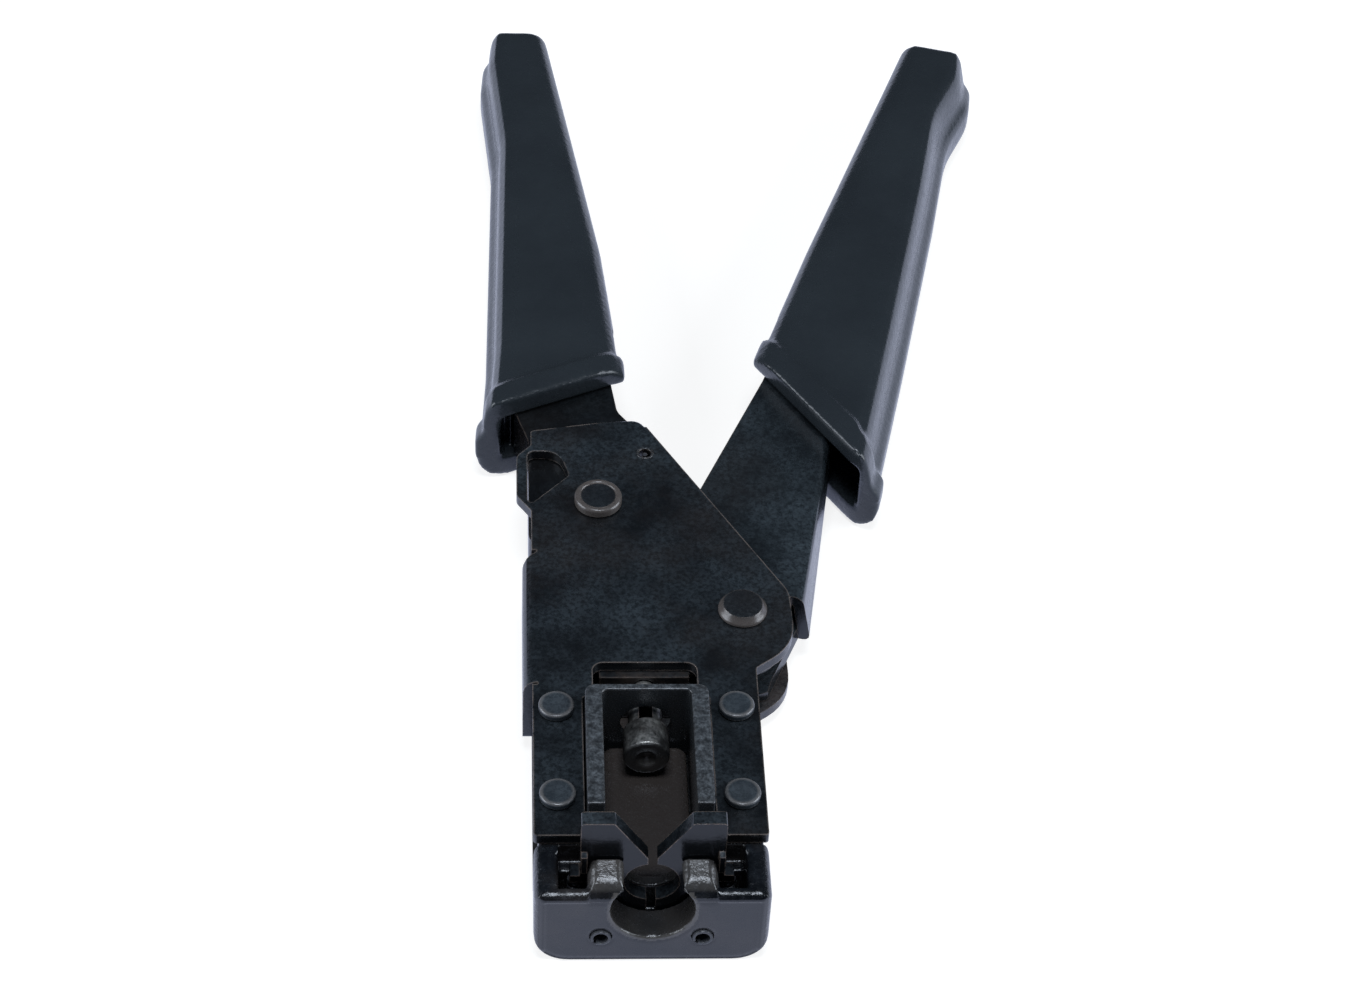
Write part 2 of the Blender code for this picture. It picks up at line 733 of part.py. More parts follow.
def nose_block(paint):
    """Build the cast nose: keyhole front wall, jaw pocket, spring slots, rear legs and floor tongue."""
    shell = [
        (-HALF_WIDTH, 0.0, NOSE_CORNER),
        (HALF_WIDTH, 0.0, NOSE_CORNER),
        (HALF_WIDTH, NOSE_HEIGHT, NOSE_EDGE),
        (-HALF_WIDTH, NOSE_HEIGHT, NOSE_EDGE),
    ]
    nose = slab("nose_block", [rounded(shell)], NOSE_FRONT, NOSE_BACK, paint, None, 'Y')
    rim = nose.modifiers.new("front_edge", 'BEVEL')
    rim.width = NOSE_EDGE * 0.8 * MM
    rim.segments = 2
    rim.limit_method = 'ANGLE'
    rim.angle_limit = math.radians(60.0)
    rim.use_clamp_overlap = False
    for side in (-1, 1):
        add_hump(nose, side)
        add_leg(nose, side)
    root = (POCKET_BACK + NOSE_BACK) / 2
    tongue = [
        (-TONGUE_WIDTH / 2, root, 0.0),
        (TONGUE_WIDTH / 2, root, 0.0),
        (TONGUE_WIDTH / 2, TONGUE_REAR, TONGUE_CORNER),
        (-TONGUE_WIDTH / 2, TONGUE_REAR, TONGUE_CORNER),
    ]
    floor = slab("tongue", [rounded(tongue)], INNER_LOW, TONGUE_TOP)
    combine(nose, floor, 'UNION')
    cut_cable_path(nose)
    cut_jaw_pocket(nose)
    return nose


def add_hump(nose, side):
    """Join one worn guide hump beside the keyhole's neck, sloping up towards the jaws."""
    face = NOSE_FRONT + SEAM
    hump = [
        (HUMP_INNER - 1.0, AXIS_HEIGHT, 0.0),
        (HUMP_OUTER, AXIS_HEIGHT, 0.0),
        (HUMP_OUTER, HUMP_BACK_HEIGHT, HUMP_CORNER),
        (HUMP_INNER - 1.0, HUMP_BACK_HEIGHT, 0.0),
    ]
    body = slab(f"hump_{side}", [mirrored(rounded(hump), side)], face, JAW_BACK, None, None, 'Y')
    slope = math.atan2(HUMP_BACK_HEIGHT - HUMP_FRONT_HEIGHT, WALL_BACK - face)
    far_corner = (HALF_WIDTH, 2 * FRONT_WALL, HUMP_BACK_HEIGHT)
    shaving = box(f"hump_slope_{side}", (-HALF_WIDTH, -1.0, 0.0), far_corner)
    shaving.location = Vector((0.0, face, HUMP_FRONT_HEIGHT)) * MM
    shaving.rotation_euler = (slope, 0.0, 0.0)
    combine(body, shaving)
    combine(nose, body, 'UNION')


def add_leg(nose, side):
    """Join one leg that reaches back between the plates and takes two frame rivets."""
    root = (POCKET_BACK + NOSE_BACK) / 2
    leg = [
        (LEG_INNER, root, 0.0),
        (LEG_OUTER, root, 0.0),
        (LEG_OUTER, LEG_REAR, LEG_CORNER),
        (LEG_INNER, LEG_REAR, LEG_CORNER),
    ]
    holes = [
        circle((side * FRAME_RIVET_X, y), FRAME_RIVET_RADIUS + CLEARANCE, RIVET_STEPS)
        for y in (FRAME_RIVET_FRONT, FRAME_RIVET_REAR)
    ]
    body = slab(f"leg_{side}", [mirrored(rounded(leg), side)] + holes, INNER_LOW, INNER_HIGH)
    combine(nose, body, 'UNION')


def open_bore(radius, neck):
    """Return a round opening on the cable axis, open upwards through a neck of the given half width."""
    lip = math.degrees(math.acos(neck / radius))
    bowl = arc((0.0, AXIS_HEIGHT), radius, 180.0 - lip, 360.0 + lip, KEYHOLE_STEPS)
    return [(neck, JAW_TOP), (-neck, JAW_TOP)] + bowl


def cut_cable_path(nose):
    """Cut the keyhole with its chamfer, its open neck, and the wider open notch in the rear wall."""
    entry = NOSE_FRONT - 1.0
    keyhole = slab("keyhole", [open_bore(KEYHOLE_RADIUS, HUMP_INNER)], entry, JAW_FRONT, None, None, 'Y')
    combine(nose, keyhole)
    deep = 2 * KEYHOLE_CHAMFER
    cone = [
        (0.0, deep),
        (KEYHOLE_RADIUS + KEYHOLE_CHAMFER - deep, deep),
        (KEYHOLE_RADIUS + KEYHOLE_CHAMFER + deep, -deep),
        (0.0, -deep),
    ]
    combine(nose, turned("keyhole_chamfer", cone, (0.0, NOSE_FRONT, AXIS_HEIGHT), KEYHOLE_STEPS, along='Y'))
    notch = open_bore(REAR_NOTCH_RADIUS, REAR_NOTCH_RADIUS * 0.98)
    combine(nose, slab("rear_notch", [notch], JAW_BACK, PLATE_FRONT, None, None, 'Y'))


def cut_jaw_pocket(nose):
    """Cut the pocket that the jaws swing in, the spring slots, the low rear lips and the roll pin holes."""
    half = POCKET_WIDTH / 2
    above = JAW_TOP
    combine(nose, box("jaw_pocket", (-half, WALL_BACK, NOSE_FLOOR), (half, POCKET_BACK, above)))
    for side in (-1, 1):
        inner, outer = sorted((side * (HUMP_OUTER + CLEARANCE), side * half))
        low = (inner, NOSE_FRONT + SLOT_LIP, NOSE_FLOOR)
        combine(nose, box(f"spring_slot_{side}", low, (outer, WALL_BACK + CLEARANCE, above)))
        lip = (inner, POCKET_BACK - CLEARANCE, NOSE_HEIGHT - REAR_LIP_DROP)
        combine(nose, box(f"rear_lip_{side}", lip, (outer, PLATE_FRONT, above)))
        drill(nose, f"roll_pin_hole_{side}", (side * JAW_PIVOT_X, JAW_PIVOT_Z), ROLL_PIN_RADIUS + ROLL_PIN_FIT,
              NOSE_FRONT - 1.0, NOSE_BACK + 1.0, 'Y')


def jaw(name, side, paint):
    """Build one jaw on its roll pin's axis: V mouth, half round hole, spring ear and front lug."""
    pivot = axis_empty(f"{name}_axis", side * JAW_PIVOT_X, 0.0, JAW_PIVOT_Z)
    split = JAW_SPLIT / 2
    turn = math.degrees(math.acos(split / JAW_HOLE_RADIUS))
    hole = arc((0.0, AXIS_HEIGHT), JAW_HOLE_RADIUS, -turn, turn, 2 * ARC_STEPS)
    boss = arc((JAW_PIVOT_X, JAW_PIVOT_Z), JAW_BOSS_RADIUS, 20.0, -120.0, 2 * ARC_STEPS)
    corners = [
        (split, AXIS_HEIGHT + JAW_TIP_RISE, 0.0),
        (JAW_MOUTH / 2, JAW_TOP, JAW_TOP_CORNER),
        (JAW_OUTER, JAW_TOP, JAW_TOP_CORNER),
        (JAW_OUTER, JAW_EAR_UNDER + JAW_EAR_THICKNESS, 0.0),
        (JAW_EAR_REACH, JAW_EAR_UNDER + JAW_EAR_THICKNESS, JAW_EAR_CORNER),
        (JAW_EAR_REACH, JAW_EAR_UNDER, JAW_EAR_CORNER),
        (JAW_WAIST, JAW_EAR_UNDER, JAW_EAR_CORNER),
    ]
    corners += [(x, z, 0.0) for x, z in boss]
    corners += [(split, AXIS_HEIGHT - JAW_FOOT_DROP, JAW_EAR_CORNER)]
    corners += [(x, z, 0.0) for x, z in hole]
    outline = [(x - JAW_PIVOT_X, z - JAW_PIVOT_Z) for x, z in rounded(corners, 3)]
    bore = circle((0.0, 0.0), ROLL_PIN_RADIUS + ROLL_PIN_FIT)
    plate = slab(name, [mirrored(outline, side), bore], JAW_FRONT, JAW_BACK, paint, pivot, 'Y')
    lug_low = JAW_PIVOT_DROP + JAW_LUG_RISE
    lug_ends = (JAW_LUG_INNER - JAW_PIVOT_X, JAW_OUTER - JAW_LUG_INSET - JAW_PIVOT_X)
    inner, outer = sorted(side * x for x in lug_ends)
    low = (inner, JAW_FRONT - JAW_LUG_DEPTH, lug_low)
    high = (outer, (JAW_FRONT + JAW_BACK) / 2, lug_low + JAW_LUG_HEIGHT)
    combine(plate, box(f"{name}_lug", low, high, None, pivot), 'UNION')
    return plate


def roll_pin(name, side, paint):
    """Add one slit spring pin, flush with the nose block's front and back faces."""
    gap = math.degrees(math.asin(ROLL_PIN_SLIT / 2 / ROLL_PIN_BORE))
    outer_gap = math.degrees(math.asin(ROLL_PIN_SLIT / 2 / ROLL_PIN_RADIUS))
    slit = 225.0
    centre = (side * JAW_PIVOT_X, JAW_PIVOT_Z)
    outside = arc(centre, ROLL_PIN_RADIUS, slit + outer_gap, slit + 360.0 - outer_gap, HOLE_STEPS)
    inside = arc(centre, ROLL_PIN_BORE, slit + 360.0 - gap, slit + gap, HOLE_STEPS)
    return slab(name, [outside + inside], NOSE_FRONT, NOSE_BACK, paint, None, 'Y')


def jaw_spring(name, side, paint):
    """Wind one jaw spring between the nose pocket's floor and the jaw's ear."""
    low = NOSE_FLOOR + CLEARANCE
    high = JAW_EAR_UNDER - CLEARANCE
    stub = JAW_SPRING_WIRE
    centre = (side * JAW_SPRING_X, (JAW_FRONT + JAW_BACK) / 2)
    steps = JAW_SPRING_TURNS * SPRING_POINTS_PER_TURN
    turns = []
    for i in range(steps + 1):
        angle = 2 * math.pi * i / SPRING_POINTS_PER_TURN
        x = centre[0] + side * JAW_SPRING_RADIUS * math.cos(angle)
        y = centre[1] + JAW_SPRING_RADIUS * math.sin(angle)
        turns.append((x, y, low + stub + (high - low - 2 * stub) * i / steps))
    least_gap(name, turns, JAW_SPRING_WIRE, SPRING_POINTS_PER_TURN)
    points = [(*turns[0][:2], low)] + turns + [(*turns[-1][:2], high)]
    return wire_form(name, points, JAW_SPRING_WIRE, paint)


def cradle(paint):
    """Build the U-shaped connector cradle that stands in the upper plate's window."""
    half = CRADLE_WIDTH / 2
    inner = half - CRADLE_WALL
    back = CRADLE_REAR - CRADLE_BACK_WALL
    outline = [
        (half, CRADLE_FRONT, CRADLE_END_CORNER),
        (half, CRADLE_REAR, CRADLE_OUTER_CORNER),
        (-half, CRADLE_REAR, CRADLE_OUTER_CORNER),
        (-half, CRADLE_FRONT, CRADLE_END_CORNER),
        (-inner, CRADLE_FRONT, CRADLE_END_CORNER),
        (-inner, back, CRADLE_INNER_CORNER),
        (inner, back, CRADLE_INNER_CORNER),
        (inner, CRADLE_FRONT, CRADLE_END_CORNER),
    ]
    walls = slab("connector_cradle", [rounded(outline, 4)], INNER_LOW, CRADLE_TOP, paint)
    return drill(walls, "plunger_hole", (0.0, AXIS_HEIGHT), PLUNGER_RADIUS + CLEARANCE,
                 back - 1.0, CRADLE_REAR + 1.0, 'Y')


def plunger(paint, slide):
    """Turn the plunger: dimpled head, slotted neck and the shank that screws into the carriage."""
    head_end = PLUNGER_FACE + PLUNGER_HEAD_LENGTH
    neck_end = CARRIAGE_FRONT - CLEARANCE
    profile = [
        (0.0, neck_end + SHANK_LENGTH),
        (SHANK_RADIUS, neck_end + SHANK_LENGTH),
        (SHANK_RADIUS, neck_end),
        (NECK_RADIUS, neck_end),
        (NECK_RADIUS, head_end),
        (PLUNGER_RADIUS - PLUNGER_EDGE, head_end),
        (PLUNGER_RADIUS, head_end - PLUNGER_EDGE),
        (PLUNGER_RADIUS, PLUNGER_FACE + PLUNGER_EDGE),
        (PLUNGER_RADIUS - PLUNGER_EDGE, PLUNGER_FACE),
        (PLUNGER_DIMPLE_RADIUS, PLUNGER_FACE),
        (0.0, PLUNGER_FACE + PLUNGER_DIMPLE_DEPTH),
    ]
    piece = turned("plunger", profile, (0.0, 0.0, AXIS_HEIGHT), PIVOT_STEPS, paint, slide, 'Y')
    low = (-NECK_SLOT_WIDTH / 2, head_end, AXIS_HEIGHT - 2 * NECK_RADIUS)
    high = (NECK_SLOT_WIDTH / 2, head_end + NECK_SLOT_LENGTH, AXIS_HEIGHT + 2 * NECK_RADIUS)
    return combine(piece, box("neck_slot", low, high, None, slide))


def drive_pin_place():
    """Return the drive pin's place at rest, half the travel behind square to the slide."""
    angle = math.radians(180.0 - HANDLE_TRAVEL / 2)
    return MAIN_PIVOT_X + CRANK_REACH * math.cos(angle), MAIN_PIVOT_Y + CRANK_REACH * math.sin(angle)


def carriage(paint, slide):
    """Build the sliding carriage: a block that holds the plunger and a slotted yoke for the drive pin."""
    half = CARRIAGE_WIDTH / 2
    rear = CARRIAGE_FRONT + CARRIAGE_LENGTH
    block = box("plunger_carriage", (-half, CARRIAGE_FRONT, INNER_LOW), (half, rear, INNER_HIGH), paint, slide)
    pin_x, pin_y = drive_pin_place()
    reach = DRIVE_PIN_RADIUS + CLEARANCE
    middle = (INNER_LOW + INNER_HIGH) / 2
    yoke_half = YOKE_WIDTH / 2
    yoke = [
        (pin_x - yoke_half, rear - YOKE_CORNER, 0.0),
        (pin_x + yoke_half, rear - YOKE_CORNER, 0.0),
        (pin_x + yoke_half, pin_y + reach + YOKE_WALL, YOKE_CORNER),
        (pin_x - yoke_half, pin_y + reach + YOKE_WALL, YOKE_CORNER),
    ]
    wide = reach + YOKE_SLOT_PLAY
    slot = rounded([
        (pin_x - wide, pin_y - reach, reach * 0.9),
        (pin_x + wide, pin_y - reach, reach * 0.9),
        (pin_x + wide, pin_y + reach, reach * 0.9),
        (pin_x - wide, pin_y + reach, reach * 0.9),
    ])
    low, high = middle - YOKE_THICKNESS / 2, middle + YOKE_THICKNESS / 2
    combine(block, slab("yoke", [rounded(yoke), slot], low, high, None, slide), 'UNION')
    return drill(block, "shank_hole", (0.0, AXIS_HEIGHT), SHANK_RADIUS + CLEARANCE,
                 CARRIAGE_FRONT - 1.0, CARRIAGE_FRONT + SHANK_LENGTH + CLEARANCE, 'Y', slide)


def lever_outline(grow):
    """Return the moving handle's plan outline behind the pivot, grown all round for a fit."""
    return [
        (LEVER_WEB_WAIST + grow, LEVER_WAIST_Y, 0.0),
        (LEVER_TAIL_RIGHT + grow, LEVER_TAIL + grow, 0.0),
        (LEVER_TAIL_LEFT - grow, LEVER_TAIL + grow, 0.0),
        (LEVER_WAIST_X - grow, LEVER_WAIST_Y, 0.0),
    ]


def round_web(channel):
    """Round the two long bends where the moving handle's web meets its flanges."""
    weights = channel.data.attributes.new("bevel_weight_edge", 'FLOAT', 'EDGE')
    for edge in channel.data.edges:
        ends = [channel.data.vertices[i].co / MM for i in edge.vertices]
        level = abs(ends[0].z - ends[1].z) < WELD
        long_run = abs(ends[0].y - ends[1].y) > LEVER_BEND
        behind = min(end.y for end in ends) > LEVER_WEB_FRONT - SEAM
        if level and long_run and behind and min(end.x for end in ends) > 0.0:
            weights.data[edge.index].value = 1.0
    bend = channel.modifiers.new("bends", 'BEVEL')
    bend.limit_method = 'WEIGHT'
    bend.width = LEVER_BEND * MM
    bend.segments = LEVER_BEND_STEPS
    bend.use_clamp_overlap = False


def lean_web(piece):
    """Lean the moving handle's web outwards, so that its lower flange is the wider one."""
    inside = LEVER_WEB_WAIST - SHEET_THICKNESS
    for vertex in piece.data.vertices:
        x, y, z = vertex.co / MM
        along = (y - LEVER_WEB_FRONT) / (LEVER_LEAN_Y - LEVER_WEB_FRONT)
        if x > inside and -SEAM < along < 1.0 + SEAM:
            lean = LEVER_LEAN_FRONT + (LEVER_LEAN_REAR - LEVER_LEAN_FRONT) * along
            vertex.co.x += lean * (INNER_HIGH - z) / (INNER_HIGH - INNER_LOW) * MM


def web_line(inset):
    """Return the outer face of the moving handle's web at its upper flange, moved inwards by the inset."""
    step = (LEVER_LEAN_Y - LEVER_WEB_FRONT) / (LEVER_WAIST_Y - LEVER_WEB_FRONT)
    middle = LEVER_WEB_X + (LEVER_WEB_WAIST - LEVER_WEB_X) * step
    return [(LEVER_WEB_X - inset, LEVER_WEB_FRONT), (middle - inset, LEVER_LEAN_Y)]


def lever(paint, axis):
    """Build the moving handle: a pressed channel, open on its inner side, with a crank in front."""
    pin = lever_pin_place()
    flank = LEVER_WEB_X - LEVER_WEB_END
    begin = -math.degrees(math.acos(flank / LEVER_NOSE_RADIUS))
    nose = arc((0.0, 0.0), LEVER_NOSE_RADIUS, begin, LEVER_NOSE_END, ARC_STEPS)
    crank = arc(pin, CRANK_BOSS, 290.0, 150.0, 2 * ARC_STEPS)
    corners = [(flank, LEVER_WEB_FRONT, 0.0)] + [(x, y, 0.0) for x, y in web_line(0.0)] + lever_outline(0.0)
    corners += [(LEVER_SHOULDER_X, LEVER_SHOULDER_Y, LEVER_SHOULDER_CORNER)]
    corners += [(x, y, 0.0) for x, y in crank[::-1]]
    corners += [(x, y, 0.0) for x, y in nose[::-1]]
    pivot_bore = circle((0.0, 0.0), PIVOT_RADIUS + CLEARANCE, PIVOT_STEPS)
    bores = [pivot_bore, circle(pin, DRIVE_PIN_RADIUS + CLEARANCE)]
    channel = slab("moving_handle", [rounded(corners)] + bores, INNER_LOW, INNER_HIGH, paint, axis)
    lean_web(channel)
    round_web(channel)
    (inside, _), (inside_rear, _) = web_line(SHEET_THICKNESS)
    hollow = [
        (-3 * CRANK_REACH, -2 * CRANK_REACH),
        (2 * LEVER_NOSE_RADIUS, -2 * CRANK_REACH),
        (2 * LEVER_NOSE_RADIUS, LEVER_WEB_FRONT - CLEARANCE),
        (inside, LEVER_WEB_FRONT - CLEARANCE),
        (inside_rear, LEVER_LEAN_Y),
        (LEVER_WEB_WAIST - SHEET_THICKNESS, LEVER_WAIST_Y),
        (LEVER_TAIL_RIGHT - SHEET_THICKNESS, LEVER_TAIL + 1.0),
        (-3 * CRANK_REACH, LEVER_TAIL + 1.0),
    ]
    low, high = INNER_LOW + SHEET_THICKNESS, INNER_HIGH - SHEET_THICKNESS
    room = slab("lever_hollow", [hollow], low, high, None, axis)
    lean_web(room)
    return combine(channel, room)


def lever_pin_place():
    """Return the drive pin's place in the moving handle's own frame."""
    angle = math.radians(180.0 - HANDLE_TRAVEL / 2 + HANDLE_OPEN)
    return CRANK_REACH * math.cos(angle), CRANK_REACH * math.sin(angle)


def ring(name, outer, inner, low, high, paint, axis):
    """Turn a plain sleeve about its parent's axis."""
    profile = [(outer, high), (outer, low), (inner, low), (inner, high)]
    return turned(name, profile, (0.0, 0.0, 0.0), PIVOT_STEPS, paint, axis, closed=True)


def tang_outline(grow):
    """Return the fixed handle's plan outline behind the frame, grown all round for a fit."""
    return [
        (TANG_SPREAD_RIGHT + grow, TANG_SPREAD_Y, TANG_SHOULDER),
        (TANG_TAIL_RIGHT + grow, TANG_TAIL + grow, TANG_CORNER),
        (TANG_TAIL_LEFT - grow, TANG_TAIL + grow, TANG_CORNER),
        (TANG_SPREAD_LEFT - grow, TANG_SPREAD_Y, 0.0),
    ]


def tang(paint):
    """Build the fixed handle: a pressed channel between the plates, open on its inner side."""
    corners = [
        (TANG_LEFT, PLATE_REAR_LEFT, TANG_SHOULDER),
        (TANG_LEFT, TANG_FRONT, TANG_CORNER),
        (TANG_RIGHT, TANG_FRONT, TANG_CORNER),
        (TANG_RIGHT, PLATE_REAR_LEFT - TANG_FLARE_LENGTH, TANG_SHOULDER),
        (TANG_RIGHT + TANG_FLARE, PLATE_REAR_LEFT + TANG_FLARE / 2, TANG_CORNER / 2),
    ]
    corners += tang_outline(0.0)
    bore = circle((REAR_RIVET_X, REAR_RIVET_Y), PIVOT_RADIUS + CLEARANCE, PIVOT_STEPS)
    channel = slab("fixed_handle", [rounded(corners), bore], INNER_LOW, INNER_HIGH, paint)
    web = SHEET_THICKNESS
    hollow = [
        (TANG_LEFT + web, TANG_FRONT - 1.0),
        (HALF_WIDTH, TANG_FRONT - 1.0),
        (HALF_WIDTH, TANG_TAIL + 1.0),
        (TANG_TAIL_LEFT + web, TANG_TAIL + 1.0),
        (TANG_SPREAD_LEFT + web, TANG_SPREAD_Y),
        (TANG_LEFT + web, PLATE_REAR_LEFT),
    ]
    low, high = INNER_LOW + SHEET_THICKNESS, INNER_HIGH - SHEET_THICKNESS
    return combine(channel, slab("tang_hollow", [hollow], low, high))


def soften(piece, width, within=False):
    """Round a piece's sharp rims, by less where the rim's edges are short if within is set."""
    rim = piece.modifiers.new("rims", 'BEVEL')
    rim.width = width * MM
    rim.segments = 2
    rim.limit_method = 'ANGLE'
    rim.angle_limit = math.radians(60.0)
    rim.use_clamp_overlap = within


def mouth_line(offset, side, slant, turn, reach):
    """Return the corners of a grip's mouth line, inner end first: slanted, then square to the handle.

    The line's start is the inner end of the mouth and the offset moves it into the grip.
    """
    bend = math.radians(abs(slant))
    knee = turn - offset * math.tan(bend / 2)
    far = (knee + reach * math.cos(bend), offset + reach * math.sin(bend))
    return [
        (side * reach, offset, 0.0),
        (-side * knee, offset, MOUTH_TURN_ROUND - offset),
        (-side * far[0], far[1], 0.0),
    ]


def grip(name, outline, collar_outline, end, mouth, cavity, side, paint, axis):
    """Mould one grip sleeve: a rounded body cut flat at its end, with a standing collar round its mouth.

    The end is the body's last y. The mouth is (x, y, slant, lean, turn): the mouth line's inner end on top of
    the grip, its fall towards the outer side, the way it goes back towards the underside, and the length after
    which it turns square to the handle.
    The sleeve is open on its inner side, given by the sign of x, for a short way behind the mouth.
    """
    body = slab(name, [outline], GRIP_LOW, GRIP_HIGH, paint, axis, 'Z', GRIP_ROUND)
    reach = 4 * GRIP_HIGH
    combine(body, box(f"{name}_end", (-reach, end, -reach), (reach, end + 2 * GRIP_CUT, reach), None, axis))
    soften(body, GRIP_END_EDGE)
    lip_round = GRIP_ROUND + COLLAR_STAND
    lip = slab(f"{name}_collar", [collar_outline], 0.0, COLLAR_HIGH, None, axis, 'Z', lip_round)
    x, y, slant, lean, turn = mouth
    rim, middle, rear = (mouth_line(COLLAR_LENGTH * share, side, slant, turn, reach) for share in (0.0, 0.5, 1.0))
    band = slab(f"{name}_band", [anticlockwise(rounded(rim + rear[::-1]))], -reach, reach, None, axis)
    before = [(middle[-1][0], -2 * reach, 0.0), (middle[0][0], -2 * reach, 0.0)]
    front = slab(f"{name}_mouth", [anticlockwise(rounded(middle + before))], -reach, reach, None, axis)
    for tool in (band, front):
        tool.location = Vector((x, y, GRIP_HIGH)) * MM
        tool.rotation_euler = (math.radians(lean), 0.0, math.radians(slant))
    combine(lip, band, 'INTERSECT')
    soften(lip, COLLAR_EDGE, True)
    combine(body, front)
    combine(body, lip, 'UNION')
    hollow = slab(f"{name}_cavity", [cavity], INNER_LOW - CLEARANCE, INNER_HIGH + CLEARANCE, None, axis)
    combine(body, hollow)
    low, high = sorted((x - side * MOUTH_OPENING, side * reach))
    far_corner = (high, y + MOUTH_CUTBACK, INNER_HIGH)
    return combine(body, box(f"{name}_open_side", (low, -reach, -reach), far_corner, None, axis))


def moving_grip(paint, axis):
    """Build the moving handle's grip, with its outer swell, waist and pommel."""
    def outline(stand):
        return rounded([
            (MOVING_OUTER_ROOT + stand, MOVING_ROOT_Y, GRIP_CORNER),
            (MOVING_OUTER_SWELL + stand, MOVING_SWELL_Y, 0.0),
            (MOVING_OUTER_PALM + stand, MOVING_PALM_Y, GRIP_BLEND),
            (MOVING_OUTER_FINGER + stand, MOVING_FINGER_Y, GRIP_BLEND),
            (MOVING_OUTER_WAIST + stand, MOVING_WAIST_Y, GRIP_BLEND),
            (MOVING_OUTER_POMMEL + stand, MOVING_POMMEL_Y, GRIP_CUT),
            (MOVING_OUTER_END + stand, MOVING_END, 0.0),
            (MOVING_OUTER_END + stand, MOVING_END + GRIP_CUT, GRIP_CORNER),
            (MOVING_INNER_END - stand, MOVING_END + GRIP_CUT, GRIP_CORNER),
            (MOVING_INNER_END - stand, MOVING_END, 0.0),
            (MOVING_INNER_PALM - stand, MOVING_INNER_PALM_Y, GRIP_BLEND),
            (MOVING_INNER_SHOULDER - stand, MOVING_SHOULDER_Y, GRIP_BLEND),
            (MOVING_INNER_ROOT - stand, MOVING_ROOT_Y, GRIP_CORNER),
        ])
    wall = MOVING_OUTER_SWELL - MOVING_MOUTH_WALL
    cavity = rounded([(wall, 0.0, 0.0), (wall, MOVING_MOUTH_DEPTH, MOVING_MOUTH_WALL / 2)]
                     + lever_outline(CLEARANCE) + [(LEVER_SHOULDER_X - CLEARANCE, 0.0, 0.0)])
    mouth = (MOVING_INNER_SHOULDER, MOVING_MOUTH_Y, MOVING_MOUTH_SLANT, MOVING_MOUTH_LEAN, MOVING_MOUTH_TURN)
    outlines = (outline(0.0), outline(COLLAR_STAND))
    return grip("moving_grip", *outlines, MOVING_END, mouth, cavity, -1, paint, axis)


def fixed_grip(paint):
    """Build the fixed handle's grip, with its slight pommel flare."""
    def outline(stand):
        return rounded([
            (FIXED_INNER_ROOT + stand, FIXED_ROOT_Y, GRIP_CORNER),
            (FIXED_INNER_PALM + stand, FIXED_PALM_Y, GRIP_BLEND),
            (FIXED_INNER_FINGER + stand, FIXED_FINGER_Y, GRIP_BLEND),
            (FIXED_INNER_END + stand, FIXED_END, 0.0),
            (FIXED_INNER_END + stand, FIXED_END + GRIP_CUT, GRIP_CORNER),
            (FIXED_OUTER_END - stand, FIXED_END + GRIP_CUT, GRIP_CORNER),
            (FIXED_OUTER_END - stand, FIXED_END, 0.0),
            (FIXED_OUTER_POMMEL - stand, FIXED_POMMEL_Y, GRIP_CUT),
            (FIXED_OUTER_WAIST - stand, FIXED_WAIST_Y, GRIP_BLEND),
            (FIXED_OUTER_PALM - stand, FIXED_OUTER_PALM_Y, GRIP_BLEND),
            (FIXED_OUTER_ROOT - stand, FIXED_ROOT_Y, GRIP_CORNER),
        ])
    wall = FIXED_OUTER_PALM + FIXED_MOUTH_WALL
    side_corners = [(wall, TANG_SPREAD_Y + FIXED_MOUTH_DEPTH, 0.0), (wall, FIXED_ROOT_Y, 0.0)]
    cavity = rounded([(TANG_RIGHT + CLEARANCE, FIXED_ROOT_Y, 0.0)] + tang_outline(CLEARANCE) + side_corners)
    mouth = (FIXED_MOUTH_X, FIXED_MOUTH_Y, FIXED_MOUTH_SLANT, FIXED_MOUTH_LEAN, FIXED_MOUTH_TURN)
    outlines = (outline(0.0), outline(COLLAR_STAND))
    return grip("fixed_grip", *outlines, FIXED_END, mouth, cavity, 1, paint, None)


def return_spring(paint):
    """Wind the return spring: a leg on the lever's web, turns on the bush, a leg into the plate hole."""
    low = INNER_LOW + SHEET_THICKNESS + RETURN_SPRING_WIRE / 2 + CLEARANCE
    high = INNER_HIGH - SHEET_THICKNESS - RETURN_SPRING_WIRE / 2 - CLEARANCE
    centre = Vector((MAIN_PIVOT_X, MAIN_PIVOT_Y))
    hook = Vector((SPRING_HOLE_X, SPRING_HOLE_Y))
    span = hook - centre
    leave = math.atan2(span.y, span.x) + math.acos(RETURN_SPRING_RADIUS / span.length)
    begin = math.radians(-HANDLE_OPEN)
    sweep = (begin - leave) % (2 * math.pi) + 2 * math.pi * RETURN_SPRING_TURNS
    steps = round(sweep / (2 * math.pi) * 2 * SPRING_POINTS_PER_TURN)
    turns = []
    for i in range(steps + 1):
        angle = begin - sweep * i / steps
        x = centre.x + RETURN_SPRING_RADIUS * math.cos(angle)
        y = centre.y + RETURN_SPRING_RADIUS * math.sin(angle)
        turns.append((x, y, low + (high - low) * i / steps))
    least_gap("handle_return_spring", turns, RETURN_SPRING_WIRE, 2 * SPRING_POINTS_PER_TURN)
    along = Vector((-math.sin(begin), math.cos(begin))) * RETURN_LEG
    start = (turns[0][0] + along.x, turns[0][1] + along.y, low)
    points = [start] + turns + [(hook.x, hook.y, high), (hook.x, hook.y, FRAME_TOP - CLEARANCE)]
    return wire_form("handle_return_spring", points, RETURN_SPRING_WIRE, paint)


